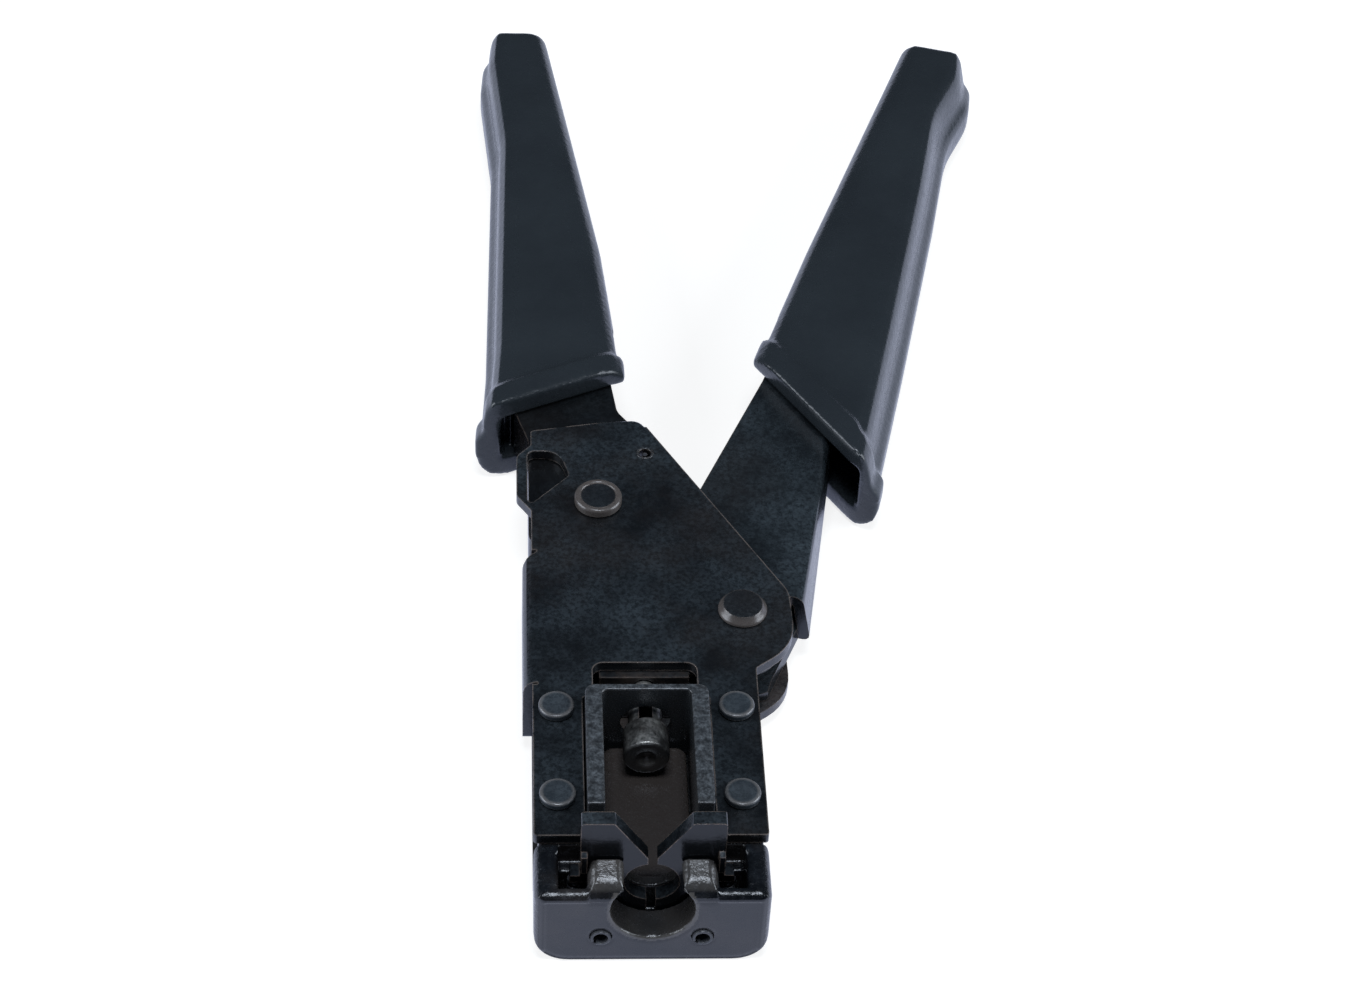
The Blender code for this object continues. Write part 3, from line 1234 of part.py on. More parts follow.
def build():
    """Build every piece of the tool."""
    plate_steel = material("plate_black_oxide", STEEL, 0.42, 1.0)
    cast_steel = material("cast_black_oxide", STEEL, 0.38, 1.0)
    pin_steel = material("rivet_black_oxide", STEEL, 0.35, 1.0)
    worn_steel = material("worn_black_oxide", BARE_EDGE, 0.32, 1.0)
    spring_steel = material("spring_steel", BARE_EDGE, 0.30, 1.0)
    vinyl = material("grip_vinyl", VINYL, 0.55, 0.0)

    upper_plate(plate_steel)
    lower_plate(plate_steel)
    nose_block(cast_steel)
    cradle(plate_steel)
    frame_rivets(pin_steel)
    step = PIVOT_HEAD_SHOULDER
    crown = PIVOT_HEAD_HEIGHT
    soft = PIVOT_HEAD_EDGE
    stepped = [(0.0, crown), (PIVOT_HEAD - step - soft, crown), (PIVOT_HEAD - step, crown - soft),
               (PIVOT_HEAD - step, step), (PIVOT_HEAD, step)]
    pivot_rivet("main_pivot_rivet", MAIN_PIVOT_X, MAIN_PIVOT_Y, stepped, pin_steel)
    rim = PIVOT_HEAD - REAR_HEAD_RIM
    dished = [(0.0, crown - REAR_HEAD_DISH), (rim - soft, crown - REAR_HEAD_DISH), (rim, crown),
              (PIVOT_HEAD - soft, crown), (PIVOT_HEAD, crown - soft)]
    pivot_rivet("rear_rivet", REAR_RIVET_X, REAR_RIVET_Y, dished, pin_steel)
    tang(plate_steel)
    fixed_grip(vinyl)

    handle_axis = axis_empty("handle_axis", MAIN_PIVOT_X, MAIN_PIVOT_Y, 0.0, -HANDLE_OPEN)
    lever(plate_steel, handle_axis)
    moving_grip(vinyl, handle_axis)
    bush_low = INNER_LOW + SHEET_THICKNESS + CLEARANCE
    bush_high = INNER_HIGH - SHEET_THICKNESS - CLEARANCE
    ring("pivot_bush", BUSH_RADIUS, PIVOT_RADIUS + CLEARANCE, bush_low, bush_high, worn_steel, handle_axis)
    pin_x, pin_y = lever_pin_place()
    pin = [(0.0, INNER_HIGH), (DRIVE_PIN_RADIUS, INNER_HIGH), (DRIVE_PIN_RADIUS, INNER_LOW), (0.0, INNER_LOW)]
    turned("drive_pin", pin, (pin_x, pin_y, 0.0), RIVET_STEPS, worn_steel, handle_axis)

    slide = axis_empty("plunger_slide", 0.0, 0.0, 0.0)
    carriage(worn_steel, slide)
    plunger(worn_steel, slide)
    for side, hand in ((-1, "left"), (1, "right")):
        jaw(f"jaw_{hand}", side, cast_steel)
        roll_pin(f"roll_pin_{hand}", side, spring_steel)
        jaw_spring(f"jaw_spring_{hand}", side, spring_steel)
    return_spring(spring_steel)


build()
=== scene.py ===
"""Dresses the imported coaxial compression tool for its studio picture.

Black oxide plates, a cast nose with sprung jaws, turned rivets and plunger, wound springs and dipped vinyl
grips are finished here and set on a white sweep, seen by the camera of the photograph. Sizes in the classes
are millimetres and degrees; the bench functions turn them into metres and radians.
"""

import logging
import math
from collections.abc import Callable, Iterator, Sequence
from contextlib import contextmanager
from dataclasses import dataclass
from enum import Enum

import bpy
import numpy as np
from mathutils import Matrix, Vector


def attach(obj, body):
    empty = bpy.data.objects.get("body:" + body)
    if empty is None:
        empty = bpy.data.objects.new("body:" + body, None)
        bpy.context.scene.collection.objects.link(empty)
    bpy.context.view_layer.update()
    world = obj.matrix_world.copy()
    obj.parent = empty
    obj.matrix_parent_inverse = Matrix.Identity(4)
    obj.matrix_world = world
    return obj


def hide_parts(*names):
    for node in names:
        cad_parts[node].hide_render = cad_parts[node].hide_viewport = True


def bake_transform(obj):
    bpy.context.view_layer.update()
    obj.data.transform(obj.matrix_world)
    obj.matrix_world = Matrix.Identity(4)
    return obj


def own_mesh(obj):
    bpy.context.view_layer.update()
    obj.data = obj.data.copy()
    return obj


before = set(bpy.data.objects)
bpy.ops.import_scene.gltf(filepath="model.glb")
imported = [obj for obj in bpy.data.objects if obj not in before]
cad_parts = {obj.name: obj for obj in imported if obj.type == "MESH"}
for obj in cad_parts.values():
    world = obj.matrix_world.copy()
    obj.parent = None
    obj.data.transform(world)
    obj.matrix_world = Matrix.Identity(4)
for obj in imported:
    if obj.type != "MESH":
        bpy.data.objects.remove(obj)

MM = 0.001
LOG = logging.getLogger("compression_tool")
Colour = tuple[float, float, float, float]
Point = tuple[float, float, float]
Profile = list[tuple[float, float]]
Test = Callable[[Vector], bool]
Piece = bpy.types.Object
Socket = bpy.types.NodeSocket

WELD = 0.002
PLATE_TOP = 15.8
CABLE_AXIS = 11.2
MAIN_PIVOT = (15.5, 50.2)
SPRING_HOLE = (1.55, 85.8)


class Body(Enum):
    """The bodies that move."""

    FRAME = "frame"
    HANDLE = "moving_handle"
    PLUNGER = "plunger"
    JAW_LEFT = "jaw_left"
    JAW_RIGHT = "jaw_right"


class Slot(Enum):
    """The record's material slots."""

    PLATE = "plate_black_oxide"
    CAST = "cast_black_oxide"
    RIVET = "rivet_black_oxide"
    WORN = "worn_black_oxide"
    SPRING = "spring_steel"
    GRIP = "grip_vinyl"


class Side(Enum):
    """The two sides of the nose, as signs along X."""

    LEFT = -1
    RIGHT = 1


# Bench work

def settle() -> None:
    """Leave edit mode and let go of every object."""
    if bpy.context.mode != 'OBJECT':
        bpy.ops.object.mode_set(mode='OBJECT')
    bpy.ops.object.select_all(action='DESELECT')


def take(piece: Piece) -> None:
    """Make one piece the only selected one."""
    settle()
    piece.select_set(True)
    bpy.context.view_layer.objects.active = piece


@contextmanager
def editing(piece: Piece, kind: str = 'VERT') -> Iterator[None]:
    """Hold a piece in edit mode.

    Args:
        piece: the piece to edit.
        kind: VERT, EDGE or FACE, what is selected.
    """
    take(piece)
    bpy.ops.object.mode_set(mode='EDIT')
    bpy.ops.mesh.select_mode(type=kind)
    yield
    bpy.ops.object.mode_set(mode='OBJECT')


def let_go(piece: Piece) -> None:
    """Clear every selection in a piece's mesh."""
    for part in (piece.data.vertices, piece.data.edges, piece.data.polygons):
        part.foreach_set("select", np.zeros(len(part), bool))


def passing(piece: Piece, test: Test) -> np.ndarray:
    """Tell which points of a piece pass a test.

    Args:
        piece: the piece in object mode.
        test: takes a point's place in millimetres.

    Returns:
        One flag for each point.
    """
    return np.array([bool(test(spot.co / MM)) for spot in piece.data.vertices], bool)


def pick_points(piece: Piece, test: Test) -> None:
    """Select the points that pass a test, which takes a place in millimetres."""
    let_go(piece)
    piece.data.vertices.foreach_set("select", passing(piece, test))


def pick_edges(piece: Piece, test: Test) -> None:
    """Select the edges whose two ends both pass a test.

    Args:
        piece: the piece in object mode.
        test: takes an end's place in millimetres.
    """
    let_go(piece)
    passed = passing(piece, test)
    chosen = [passed[edge.vertices[0]] and passed[edge.vertices[1]] for edge in piece.data.edges]
    piece.data.edges.foreach_set("select", np.array(chosen, bool))


def face_out(merge: float | None = None) -> None:
    """Turn every face of the piece in edit mode outwards.

    Args:
        merge: points closer than this in millimetres are merged first, if it is given.
    """
    bpy.ops.mesh.select_all(action='SELECT')
    if merge is not None:
        bpy.ops.mesh.remove_doubles(threshold=merge * MM)
    bpy.ops.mesh.normals_make_consistent(inside=False)


def roll_edges(piece: Piece, test: Test, width: float, steps: int = 4) -> None:
    """Round chosen edges widely.

    Args:
        piece: the piece to round.
        test: takes an edge end's place in millimetres.
        width: the rounding in millimetres.
        steps: faces across the rounding.
    """
    pick_edges(piece, test)
    with editing(piece, 'EDGE'):
        bpy.ops.mesh.bevel(offset=width * MM, segments=steps, affect='EDGES', clamp_overlap=True)


def apply(piece: Piece, kind: str, **settings: object) -> None:
    """Add one modifier and apply it.

    Args:
        piece: the piece to change.
        kind: the modifier's type.
        settings: the modifier's properties.
    """
    take(piece)
    step = piece.modifiers.new(kind.lower(), kind)
    for key, value in settings.items():
        setattr(step, key, value)
    bpy.ops.object.modifier_apply(modifier=step.name)


def smooth_shade(piece: Piece, angle: float = 35.0) -> None:
    """Shade a piece smooth up to an angle in degrees."""
    take(piece)
    bpy.ops.object.shade_smooth_by_angle(angle=math.radians(angle))


def flat_shade(piece: Piece, angle: float = 35.0) -> None:
    """Shade a pressed or milled piece so that its flats stay flat between rounded edges."""
    smooth_shade(piece, angle)
    apply(piece, 'WEIGHTED_NORMAL', mode='FACE_AREA', weight=80, keep_sharp=True)


def copy_node(node: str, name: str) -> Piece:
    """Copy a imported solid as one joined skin, with its flat faces whole again.

    Args:
        node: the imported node.
        name: the new piece's name.

    Returns:
        The copy, at the origin.
    """
    piece = bpy.data.objects.new(name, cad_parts[node].data.copy())
    bpy.context.scene.collection.objects.link(piece)
    piece.data.materials.clear()
    take(piece)
    bpy.ops.mesh.customdata_custom_splitnormals_clear()
    with editing(piece):
        bpy.ops.mesh.select_all(action='SELECT')
        bpy.ops.mesh.remove_doubles(threshold=WELD * MM)
        bpy.ops.mesh.dissolve_limited(angle_limit=math.radians(0.6))
    return piece


def ease_edges(piece: Piece, width: float, steps: int = 2, angle: float = 32.0) -> None:
    """Round a piece's sharp edges.

    Args:
        piece: the piece to round.
        width: the rounding in millimetres.
        steps: faces across each rounding.
        angle: edges sharper than this are rounded, in degrees.
    """
    apply(piece, 'BEVEL', width=width * MM, segments=steps, limit_method='ANGLE',
          angle_limit=math.radians(angle), use_clamp_overlap=True, harden_normals=False,
          miter_outer='MITER_ARC')


def recast(piece: Piece, grain: float, passes: int) -> None:
    """Make a piece one even skin with soft edges, as a casting or a dipped sleeve has.

    Args:
        piece: the piece to remake.
        grain: the size of the skin's faces in millimetres.
        passes: how often the skin is smoothed.
    """
    apply(piece, 'REMESH', mode='VOXEL', voxel_size=grain * MM, adaptivity=0.0, use_smooth_shade=True)
    apply(piece, 'SMOOTH', factor=0.5, iterations=passes)


def skin_points(piece: Piece) -> np.ndarray:
    """Give a piece's points in millimetres, one row each."""
    flat = np.zeros(3 * len(piece.data.vertices))
    piece.data.vertices.foreach_get("co", flat)
    return flat.reshape(-1, 3) / MM


def set_points(piece: Piece, points: np.ndarray) -> None:
    """Move a piece's points to these places, given in millimetres."""
    piece.data.vertices.foreach_set("co", (points * MM).ravel())
    piece.data.update()


def fillet(points: np.ndarray, faces: Sequence[tuple[int, int, object]], radius: float,
           where: np.ndarray) -> None:
    """Round the edge between two flat faces of an even skin.

    Args:
        points: the skin's points, changed in place.
        faces: (axis, sign, place) of both faces; the sign points out of the piece.
        radius: the rounding in millimetres.
        where: which points belong to the edge.
    """
    (first, first_sign, first_place), (second, second_sign, second_place) = faces
    across = radius - first_sign * (first_place - points[:, first])
    along = radius - second_sign * (second_place - points[:, second])
    reach = np.hypot(across, along)
    outside = where & (across > 0.0) & (along > 0.0) & (reach > radius)
    pull = (1.0 - radius / np.maximum(reach, 1e-9)) * outside
    points[:, first] -= first_sign * across * pull
    points[:, second] -= second_sign * along * pull


def paint(piece: Piece, name: str, mask: np.ndarray) -> None:
    """Store a mask on a piece's points for its finish to read."""
    layer = piece.data.attributes.new(name, 'FLOAT', 'POINT')
    layer.data.foreach_set("value", np.clip(mask, 0.0, 1.0).astype(np.float32))


def ramp(values: np.ndarray, low: float, high: float) -> np.ndarray:
    """Run smoothly from 0 at low to 1 at high."""
    step = np.clip((values - low) / (high - low), 0.0, 1.0)
    return step * step * (3.0 - 2.0 * step)


def turn(name: str, profile: Profile, steps: int) -> Piece:
    """Turn a profile about the vertical axis through the origin.

    Args:
        name: the piece's name.
        profile: (radius, height) points in millimetres, from axis to axis.
        steps: faces round the axis.

    Returns:
        The closed turned piece.
    """
    settle()
    bpy.ops.mesh.primitive_plane_add(size=MM)
    piece = bpy.context.object
    piece.name = piece.data.name = name
    places = [Vector((radius * MM, 0.0, height * MM)) for radius, height in profile]
    with editing(piece):
        bpy.ops.mesh.select_all(action='SELECT')
        bpy.ops.mesh.merge(type='CENTER')
        bpy.ops.transform.translate(value=places[0])
        for here, there in zip(places, places[1:]):
            bpy.ops.mesh.extrude_vertices_move(TRANSFORM_OT_translate={"value": there - here})
        bpy.ops.mesh.select_all(action='SELECT')
        bpy.ops.mesh.spin(steps=steps, angle=2 * math.pi, center=(0, 0, 0), axis=(0, 0, 1))
        face_out(2 * WELD)
    return piece


def lay(piece: Piece, place: Point, along: str = 'Z') -> Piece:
    """Move a piece's mesh to its place, and lay it along Y if asked.

    Args:
        piece: the piece, at the origin.
        place: its place in millimetres.
        along: Z as it is, or Y with the piece's top turned towards +Y.

    Returns:
        The same piece.
    """
    turn_over = Matrix.Rotation(math.radians(-90.0), 4, 'X') if along == 'Y' else Matrix.Identity(4)
    piece.data.transform(Matrix.Translation(Vector(place) * MM) @ turn_over)
    return piece


def twin(piece: Piece, name: str) -> Piece:
    """Copy a finished piece with a mesh of its own."""
    copy = bpy.data.objects.new(name, piece.data.copy())
    bpy.context.scene.collection.objects.link(copy)
    return copy


def wind(name: str, points: Sequence[Point], wire: float) -> Piece:
    """Draw round wire along points.

    Args:
        name: the piece's name.
        points: the wire's centre line in millimetres.
        wire: the wire's diameter.

    Returns:
        The wire as a closed mesh.
    """
    settle()
    curve = bpy.data.curves.new(name, 'CURVE')
    curve.dimensions = '3D'
    curve.bevel_depth = wire / 2 * MM
    curve.bevel_resolution = 3
    curve.use_fill_caps = True
    line = curve.splines.new('POLY')
    line.points.add(len(points) - 1)
    for spot, point in zip(line.points, points):
        spot.co = (*(Vector(point) * MM), 1.0)
    strand = bpy.data.objects.new(name, curve)
    bpy.context.scene.collection.objects.link(strand)
    take(strand)
    bpy.ops.object.convert(target='MESH')
    piece = bpy.context.object
    with editing(piece):
        face_out(WELD)
    smooth_shade(piece, 60.0)
    return piece


def hand_in(piece: Piece, body: Body | None, slot: Slot, finish: "Finish", *nodes: str) -> None:
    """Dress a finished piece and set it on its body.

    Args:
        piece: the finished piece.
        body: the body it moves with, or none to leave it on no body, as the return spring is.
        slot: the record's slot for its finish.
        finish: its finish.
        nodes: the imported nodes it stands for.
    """
    settle()
    piece.data.materials.clear()
    piece.data.materials.append(finish.material())
    if body is not None:
        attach(piece, body.value)
    if nodes:
        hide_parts(*nodes)
    LOG.info("%s: %d faces on %s, %s", piece.name, len(piece.data.polygons), body and body.value, slot.value)


# Finishes

class NodeSheet:
    """Lays out one node tree from left to right."""

    def __init__(self, tree: bpy.types.NodeTree) -> None:
        """Start on a tree."""
        self.tree = tree
        self.column = 0

    def add(self, kind: str, inputs: dict[str | int, object] | None = None,
            **props: object) -> bpy.types.Node:
        """Add a node.

        Args:
            kind: the node's type.
            inputs: a value or an output socket for each input, by name or index.
            props: the node's own properties.

        Returns:
            The node.
        """
        node = self.tree.nodes.new(kind)
        node.location = (220.0 * self.column, 0.0)
        self.column += 1
        for key, value in props.items():
            setattr(node, key, value)
        for key, value in (inputs or {}).items():
            if isinstance(value, Socket):
                self.link(value, node.inputs[key])
            else:
                node.inputs[key].default_value = value
        return node

    def link(self, source: Socket, target: Socket) -> None:
        """Run a link from an output to an input."""
        self.tree.links.new(source, target)

    def noise(self, vector: Socket, scale: object, detail: float,
              rough: float = 0.55) -> Socket:
        """Add a noise pattern and give its value."""
        node = self.add("ShaderNodeTexNoise", {"Vector": vector, "Scale": scale, "Detail": detail,
                                               "Roughness": rough})
        return node.outputs[0]

    def span(self, value: Socket, low: float, high: float, to_low: object = 0.0,
             to_high: object = 1.0) -> Socket:
        """Stretch a value from one range to another, held at both ends."""
        node = self.add("ShaderNodeMapRange", {"Value": value, "From Min": low, "From Max": high,
                                               "To Min": to_low, "To Max": to_high}, clamp=True)
        return node.outputs[0]

    def sum(self, operation: str, first: object, second: object) -> Socket:
        """Combine two values by one operation."""
        return self.add("ShaderNodeMath", {0: first, 1: second}, operation=operation).outputs[0]

    def mix(self, factor: Socket, first: object, second: object) -> Socket:
        """Mix two colours by a mask."""
        return self.add("ShaderNodeMix", {0: factor, 6: first, 7: second}, data_type='RGBA').outputs[2]


class Effect:
    """A shader node group that several finishes share."""

    name = "effect"
    takes: dict[str, str] = {}
    gives: dict[str, str] = {}

    @classmethod
    def tree(cls) -> bpy.types.NodeTree:
        """Give the group, made once."""
        group = bpy.data.node_groups.get(cls.name)
        if group is None:
            group = bpy.data.node_groups.new(cls.name, 'ShaderNodeTree')
            for way, sockets in (('INPUT', cls.takes), ('OUTPUT', cls.gives)):
                for label, kind in sockets.items():
                    group.interface.new_socket(label, in_out=way, socket_type=kind)
            sheet = NodeSheet(group)
            start = sheet.add("NodeGroupInput")
            end = sheet.add("NodeGroupOutput")
            for label, socket in cls.draw(sheet, start.outputs).items():
                sheet.link(socket, end.inputs[label])
        return group

    @classmethod
    def draw(cls, sheet: NodeSheet, given: bpy.types.NodeOutputs) -> dict[str, Socket]:
        """Lay out the group's nodes and give the socket for each output."""
        raise NotImplementedError

    @classmethod
    def place(cls, sheet: NodeSheet, **inputs: object) -> bpy.types.NodeOutputs:
        """Put the group in a material with its own values.

        Args:
            sheet: the material's node tree.
            inputs: a value or a socket for each input, by its name in small letters.

        Returns:
            The group's outputs.
        """
        node = sheet.add("ShaderNodeGroup", node_tree=cls.tree())
        for label, value in inputs.items():
            socket = node.inputs[label.replace("_", " ").capitalize()]
            if isinstance(value, Socket):
                sheet.link(value, socket)
            else:
                socket.default_value = value
        return node.outputs


class OxideClouds(Effect):
    """The soft blotches, stains and grain of a black oxide bath."""

    name = "oxide_clouds"
    takes = {"Vector": "NodeSocketVector", "Cloud scale": "NodeSocketFloat", "Grain scale": "NodeSocketFloat"}
    gives = {"Cloud": "NodeSocketFloat", "Stain": "NodeSocketFloat", "Grain": "NodeSocketFloat"}

    @classmethod
    def draw(cls, sheet: NodeSheet, given: bpy.types.NodeOutputs) -> dict[str, Socket]:
        """Lay out clouds, stains and grain."""
        cloud = sheet.noise(given["Vector"], given["Cloud scale"], 5.0, 0.62)
        moved = sheet.add("ShaderNodeVectorMath", {0: given["Vector"], 1: (0.31, 0.17, 0.53)},
                          operation='ADD')
        slow = sheet.sum('MULTIPLY', given["Cloud scale"], 0.45)
        stain = sheet.noise(moved.outputs[0], slow, 6.0, 0.68)
        grain = sheet.noise(given["Vector"], given["Grain scale"], 3.0, 0.7)
        return {"Cloud": sheet.span(cloud, 0.36, 0.66), "Stain": sheet.span(stain, 0.46, 0.68),
                "Grain": grain}


class EdgeRub(Effect):
    """The broken line of bare metal along edges that hands and work have rubbed."""

    name = "edge_rub"
    takes = {"Vector": "NodeSocketVector", "Reach": "NodeSocketFloat", "Break scale": "NodeSocketFloat",
             "Amount": "NodeSocketFloat"}
    gives = {"Rub": "NodeSocketFloat"}

    @classmethod
    def draw(cls, sheet: NodeSheet, given: bpy.types.NodeOutputs) -> dict[str, Socket]:
        """Find edges by the turn of a rounded normal, and break them up."""
        rounded = sheet.add("ShaderNodeBevel", {"Radius": given["Reach"]}, samples=6)
        flat = sheet.add("ShaderNodeNewGeometry")
        turned = sheet.add("ShaderNodeVectorMath", {0: rounded.outputs[0], 1: flat.outputs["Normal"]},
                           operation='DOT_PRODUCT')
        edge = sheet.span(turned.outputs["Value"], 0.96, 0.80)
        broken = sheet.span(sheet.noise(given["Vector"], given["Break scale"], 4.0, 0.65), 0.34, 0.54)
        rub = sheet.sum('MULTIPLY', sheet.sum('MULTIPLY', edge, broken), given["Amount"])
        return {"Rub": sheet.sum('MINIMUM', rub, 1.0)}


class PebbleSkin(Effect):
    """The fine leathery pebbles of dipped vinyl."""

    name = "pebble_skin"
    takes = {"Vector": "NodeSocketVector", "Pebble scale": "NodeSocketFloat"}
    gives = {"Height": "NodeSocketFloat", "Shade": "NodeSocketFloat"}

    @classmethod
    def draw(cls, sheet: NodeSheet, given: bpy.types.NodeOutputs) -> dict[str, Socket]:
        """Lay out pebbles over a slow unevenness."""
        cells = sheet.add("ShaderNodeTexVoronoi", {"Vector": given["Vector"], "Scale": given["Pebble scale"]},
                          feature='SMOOTH_F1')
        pebble = sheet.span(cells.outputs["Distance"], 0.0, 0.75, 1.0, 0.0)
        rough = sheet.noise(given["Vector"], sheet.sum('MULTIPLY', given["Pebble scale"], 1.9), 3.0)
        height = sheet.sum('ADD', pebble, sheet.sum('MULTIPLY', rough, 0.6))
        slow = sheet.noise(given["Vector"], sheet.sum('MULTIPLY', given["Pebble scale"], 0.05), 4.0)
        return {"Height": height, "Shade": sheet.span(slow, 0.34, 0.68)}


@dataclass(frozen=True)
class Finish:
    """A procedural material, made once."""

    name: str

    def material(self) -> bpy.types.Material:
        """Give the finish's material.

        Returns:
            The material, made at the first call.
        """
        made = bpy.data.materials.get(self.name)
        if made is None:
            made = bpy.data.materials.new(self.name)
            made.use_nodes = True
            self.draw(NodeSheet(made.node_tree), made.node_tree.nodes["Principled BSDF"].inputs)
        return made

    def draw(self, sheet: NodeSheet, shader: bpy.types.NodeInputs) -> None:
        """Lay out the finish's nodes.

        Args:
            sheet: the material's node tree.
            shader: the inputs of its shader.
        """
        raise NotImplementedError


@dataclass(frozen=True)
class OxideSteel(Finish):
    """Black oxide on steel: blue-black clouds, brown stains and rubbed edges.

    Faces turned up or down carry the clouds, and sides that stand upright stay black: painted light on the
    tops and painted shade on the sides. A marked finish also reads the masks painted on the piece: stained,
    bright and ground. Bright is bare metal on drilled and rubbed places, and a painted highlight on the hump
    crests and rivet shoulders.
    """

    black: Colour = (0.0030, 0.0038, 0.0048, 1.0)
    cloud: Colour = (0.0190, 0.0255, 0.0320, 1.0)
    brown: Colour = (0.0200, 0.0150, 0.0130, 1.0)
    bare: Colour = (0.30, 0.235, 0.205, 1.0)
    cloud_scale: float = 75.0
    grain_scale: float = 1500.0
    stain: float = 0.35
    rub: float = 0.5
    rub_reach: float = 0.45
    rub_scale: float = 420.0
    rough_low: float = 0.20
    rough_high: float = 0.36
    grain_height: float = 0.03
    specular: float = 0.6
    tint: Colour = (0.86, 0.91, 1.0, 1.0)
    metal: float = 0.0
    marked: bool = False

    def draw(self, sheet: NodeSheet, shader: bpy.types.NodeInputs) -> None:
        """Lay out bath, wear, marks and grain."""
        coordinates = sheet.add("ShaderNodeTexCoord").outputs
        place = coordinates["Object"]
        bath = OxideClouds.place(sheet, vector=place, cloud_scale=self.cloud_scale,
                                 grain_scale=self.grain_scale)
        rub = EdgeRub.place(sheet, vector=place, reach=self.rub_reach * MM, break_scale=self.rub_scale,
                            amount=self.rub)["Rub"]
        stain = sheet.sum('MULTIPLY', bath["Stain"], self.stain)
        height = bath["Grain"]
        if self.marked:
            stain = sheet.sum('MAXIMUM', stain, sheet.sum('MULTIPLY', self.mark(sheet, "stained"), 0.75))
            # The bright mask adds bare metal: drilled and rubbed places, and painted highlights on the hump
            # crests and rivet shoulders.
            rub = sheet.sum('MAXIMUM', rub, sheet.sum('MULTIPLY', self.mark(sheet, "bright"), 0.8))
            cast = sheet.span(self.mark(sheet, "ground"), 0.0, 1.0, 1.0, 0.12)
            height = sheet.sum('MULTIPLY', height, cast)
        speck = sheet.span(bath["Grain"], 0.36, 0.64, 0.2, 1.0)
        # Painted light and shade: the clouds show only on faces turned up or down, and upright sides stay
        # black.
        upward = sheet.add("ShaderNodeSeparateXYZ", {0: coordinates["Normal"]}).outputs["Z"]
        flat = sheet.span(sheet.sum('ABSOLUTE', upward, 0.0), 0.15, 0.75)
        clouds_and_top_light = sheet.sum('MULTIPLY', sheet.sum('MULTIPLY', bath["Cloud"], speck), flat)
        colour = sheet.mix(clouds_and_top_light, self.black, self.cloud)
        colour = sheet.mix(stain, colour, self.brown)
        sheet.link(sheet.mix(rub, colour, self.bare), shader["Base Color"])
        rough = sheet.span(bath["Grain"], 0.3, 0.7, self.rough_low, self.rough_high)
        sheet.link(sheet.sum('SUBTRACT', rough, sheet.sum('MULTIPLY', rub, 0.08)), shader["Roughness"])
        sheet.link(sheet.span(rub, 0.0, 1.0, self.metal, 0.5), shader["Metallic"])
        bump = sheet.add("ShaderNodeBump", {"Height": height, "Strength": 0.6,
                                            "Distance": self.grain_height * MM})
        sheet.link(bump.outputs[0], shader["Normal"])
        shader["Specular IOR Level"].default_value = self.specular
        shader["Specular Tint"].default_value = self.tint

    @staticmethod
    def mark(sheet: NodeSheet, name: str) -> Socket:
        """Read a mask painted on the piece."""
        return sheet.add("ShaderNodeAttribute", attribute_name=name).outputs["Fac"]


@dataclass(frozen=True)
class GripVinyl(Finish):
    """Dipped vinyl: satin charcoal with a pebbled skin."""

    name: str = "vinyl_skin"
    dark: Colour = (0.0180, 0.0228, 0.0285, 1.0)
    light: Colour = (0.0230, 0.0292, 0.0360, 1.0)
    pebble_scale: float = 1150.0
    pebble_height: float = 0.05
    rough_low: float = 0.19
    rough_high: float = 0.29
    tint: Colour = (0.88, 0.92, 1.0, 1.0)

    def draw(self, sheet: NodeSheet, shader: bpy.types.NodeInputs) -> None:
        """Lay out shade and pebbles."""
        place = sheet.add("ShaderNodeTexCoord").outputs["Object"]
        skin = PebbleSkin.place(sheet, vector=place, pebble_scale=self.pebble_scale)
        rough = sheet.span(skin["Height"], 0.4, 1.3, self.rough_high, self.rough_low)
        bump = sheet.add("ShaderNodeBump", {"Height": skin["Height"], "Strength": 0.55,
                                            "Distance": self.pebble_height * MM})
        sheet.link(sheet.mix(skin["Shade"], self.dark, self.light), shader["Base Color"])
        sheet.link(rough, shader["Roughness"])
        sheet.link(bump.outputs[0], shader["Normal"])
        shader["Specular Tint"].default_value = self.tint


PLATE = OxideSteel("plate_oxide", black=(0.0045, 0.0057, 0.0073, 1.0), cloud=(0.0300, 0.0400, 0.0500, 1.0),
                   stain=0.5, rub=0.9, bare=(0.34, 0.29, 0.27, 1.0))
HANDLE = OxideSteel("handle_oxide", black=(0.0065, 0.0085, 0.0108, 1.0), cloud=(0.0420, 0.0560, 0.0690, 1.0),
                    stain=0.35, cloud_scale=55.0, rub=0.4, rough_low=0.15, rough_high=0.26)
# The fixed handle's oxide is darker than the moving handle's: painted shade for the tang under the upper
# plate and inside the grip's collar.
SHADED_TANG = OxideSteel("tang_oxide_painted_shade", black=(0.0030, 0.0038, 0.0048, 1.0), cloud=(0.0150, 0.0195, 0.0240, 1.0),
                  stain=0.3, cloud_scale=55.0, rub=0.4, rough_low=0.15, rough_high=0.26)
FLOOR_PLATE = OxideSteel("floor_oxide", black=(0.010, 0.011, 0.013, 1.0), cloud=(0.050, 0.052, 0.056, 1.0),
                         brown=(0.120, 0.098, 0.092, 1.0), stain=1.0, rub=0.3)
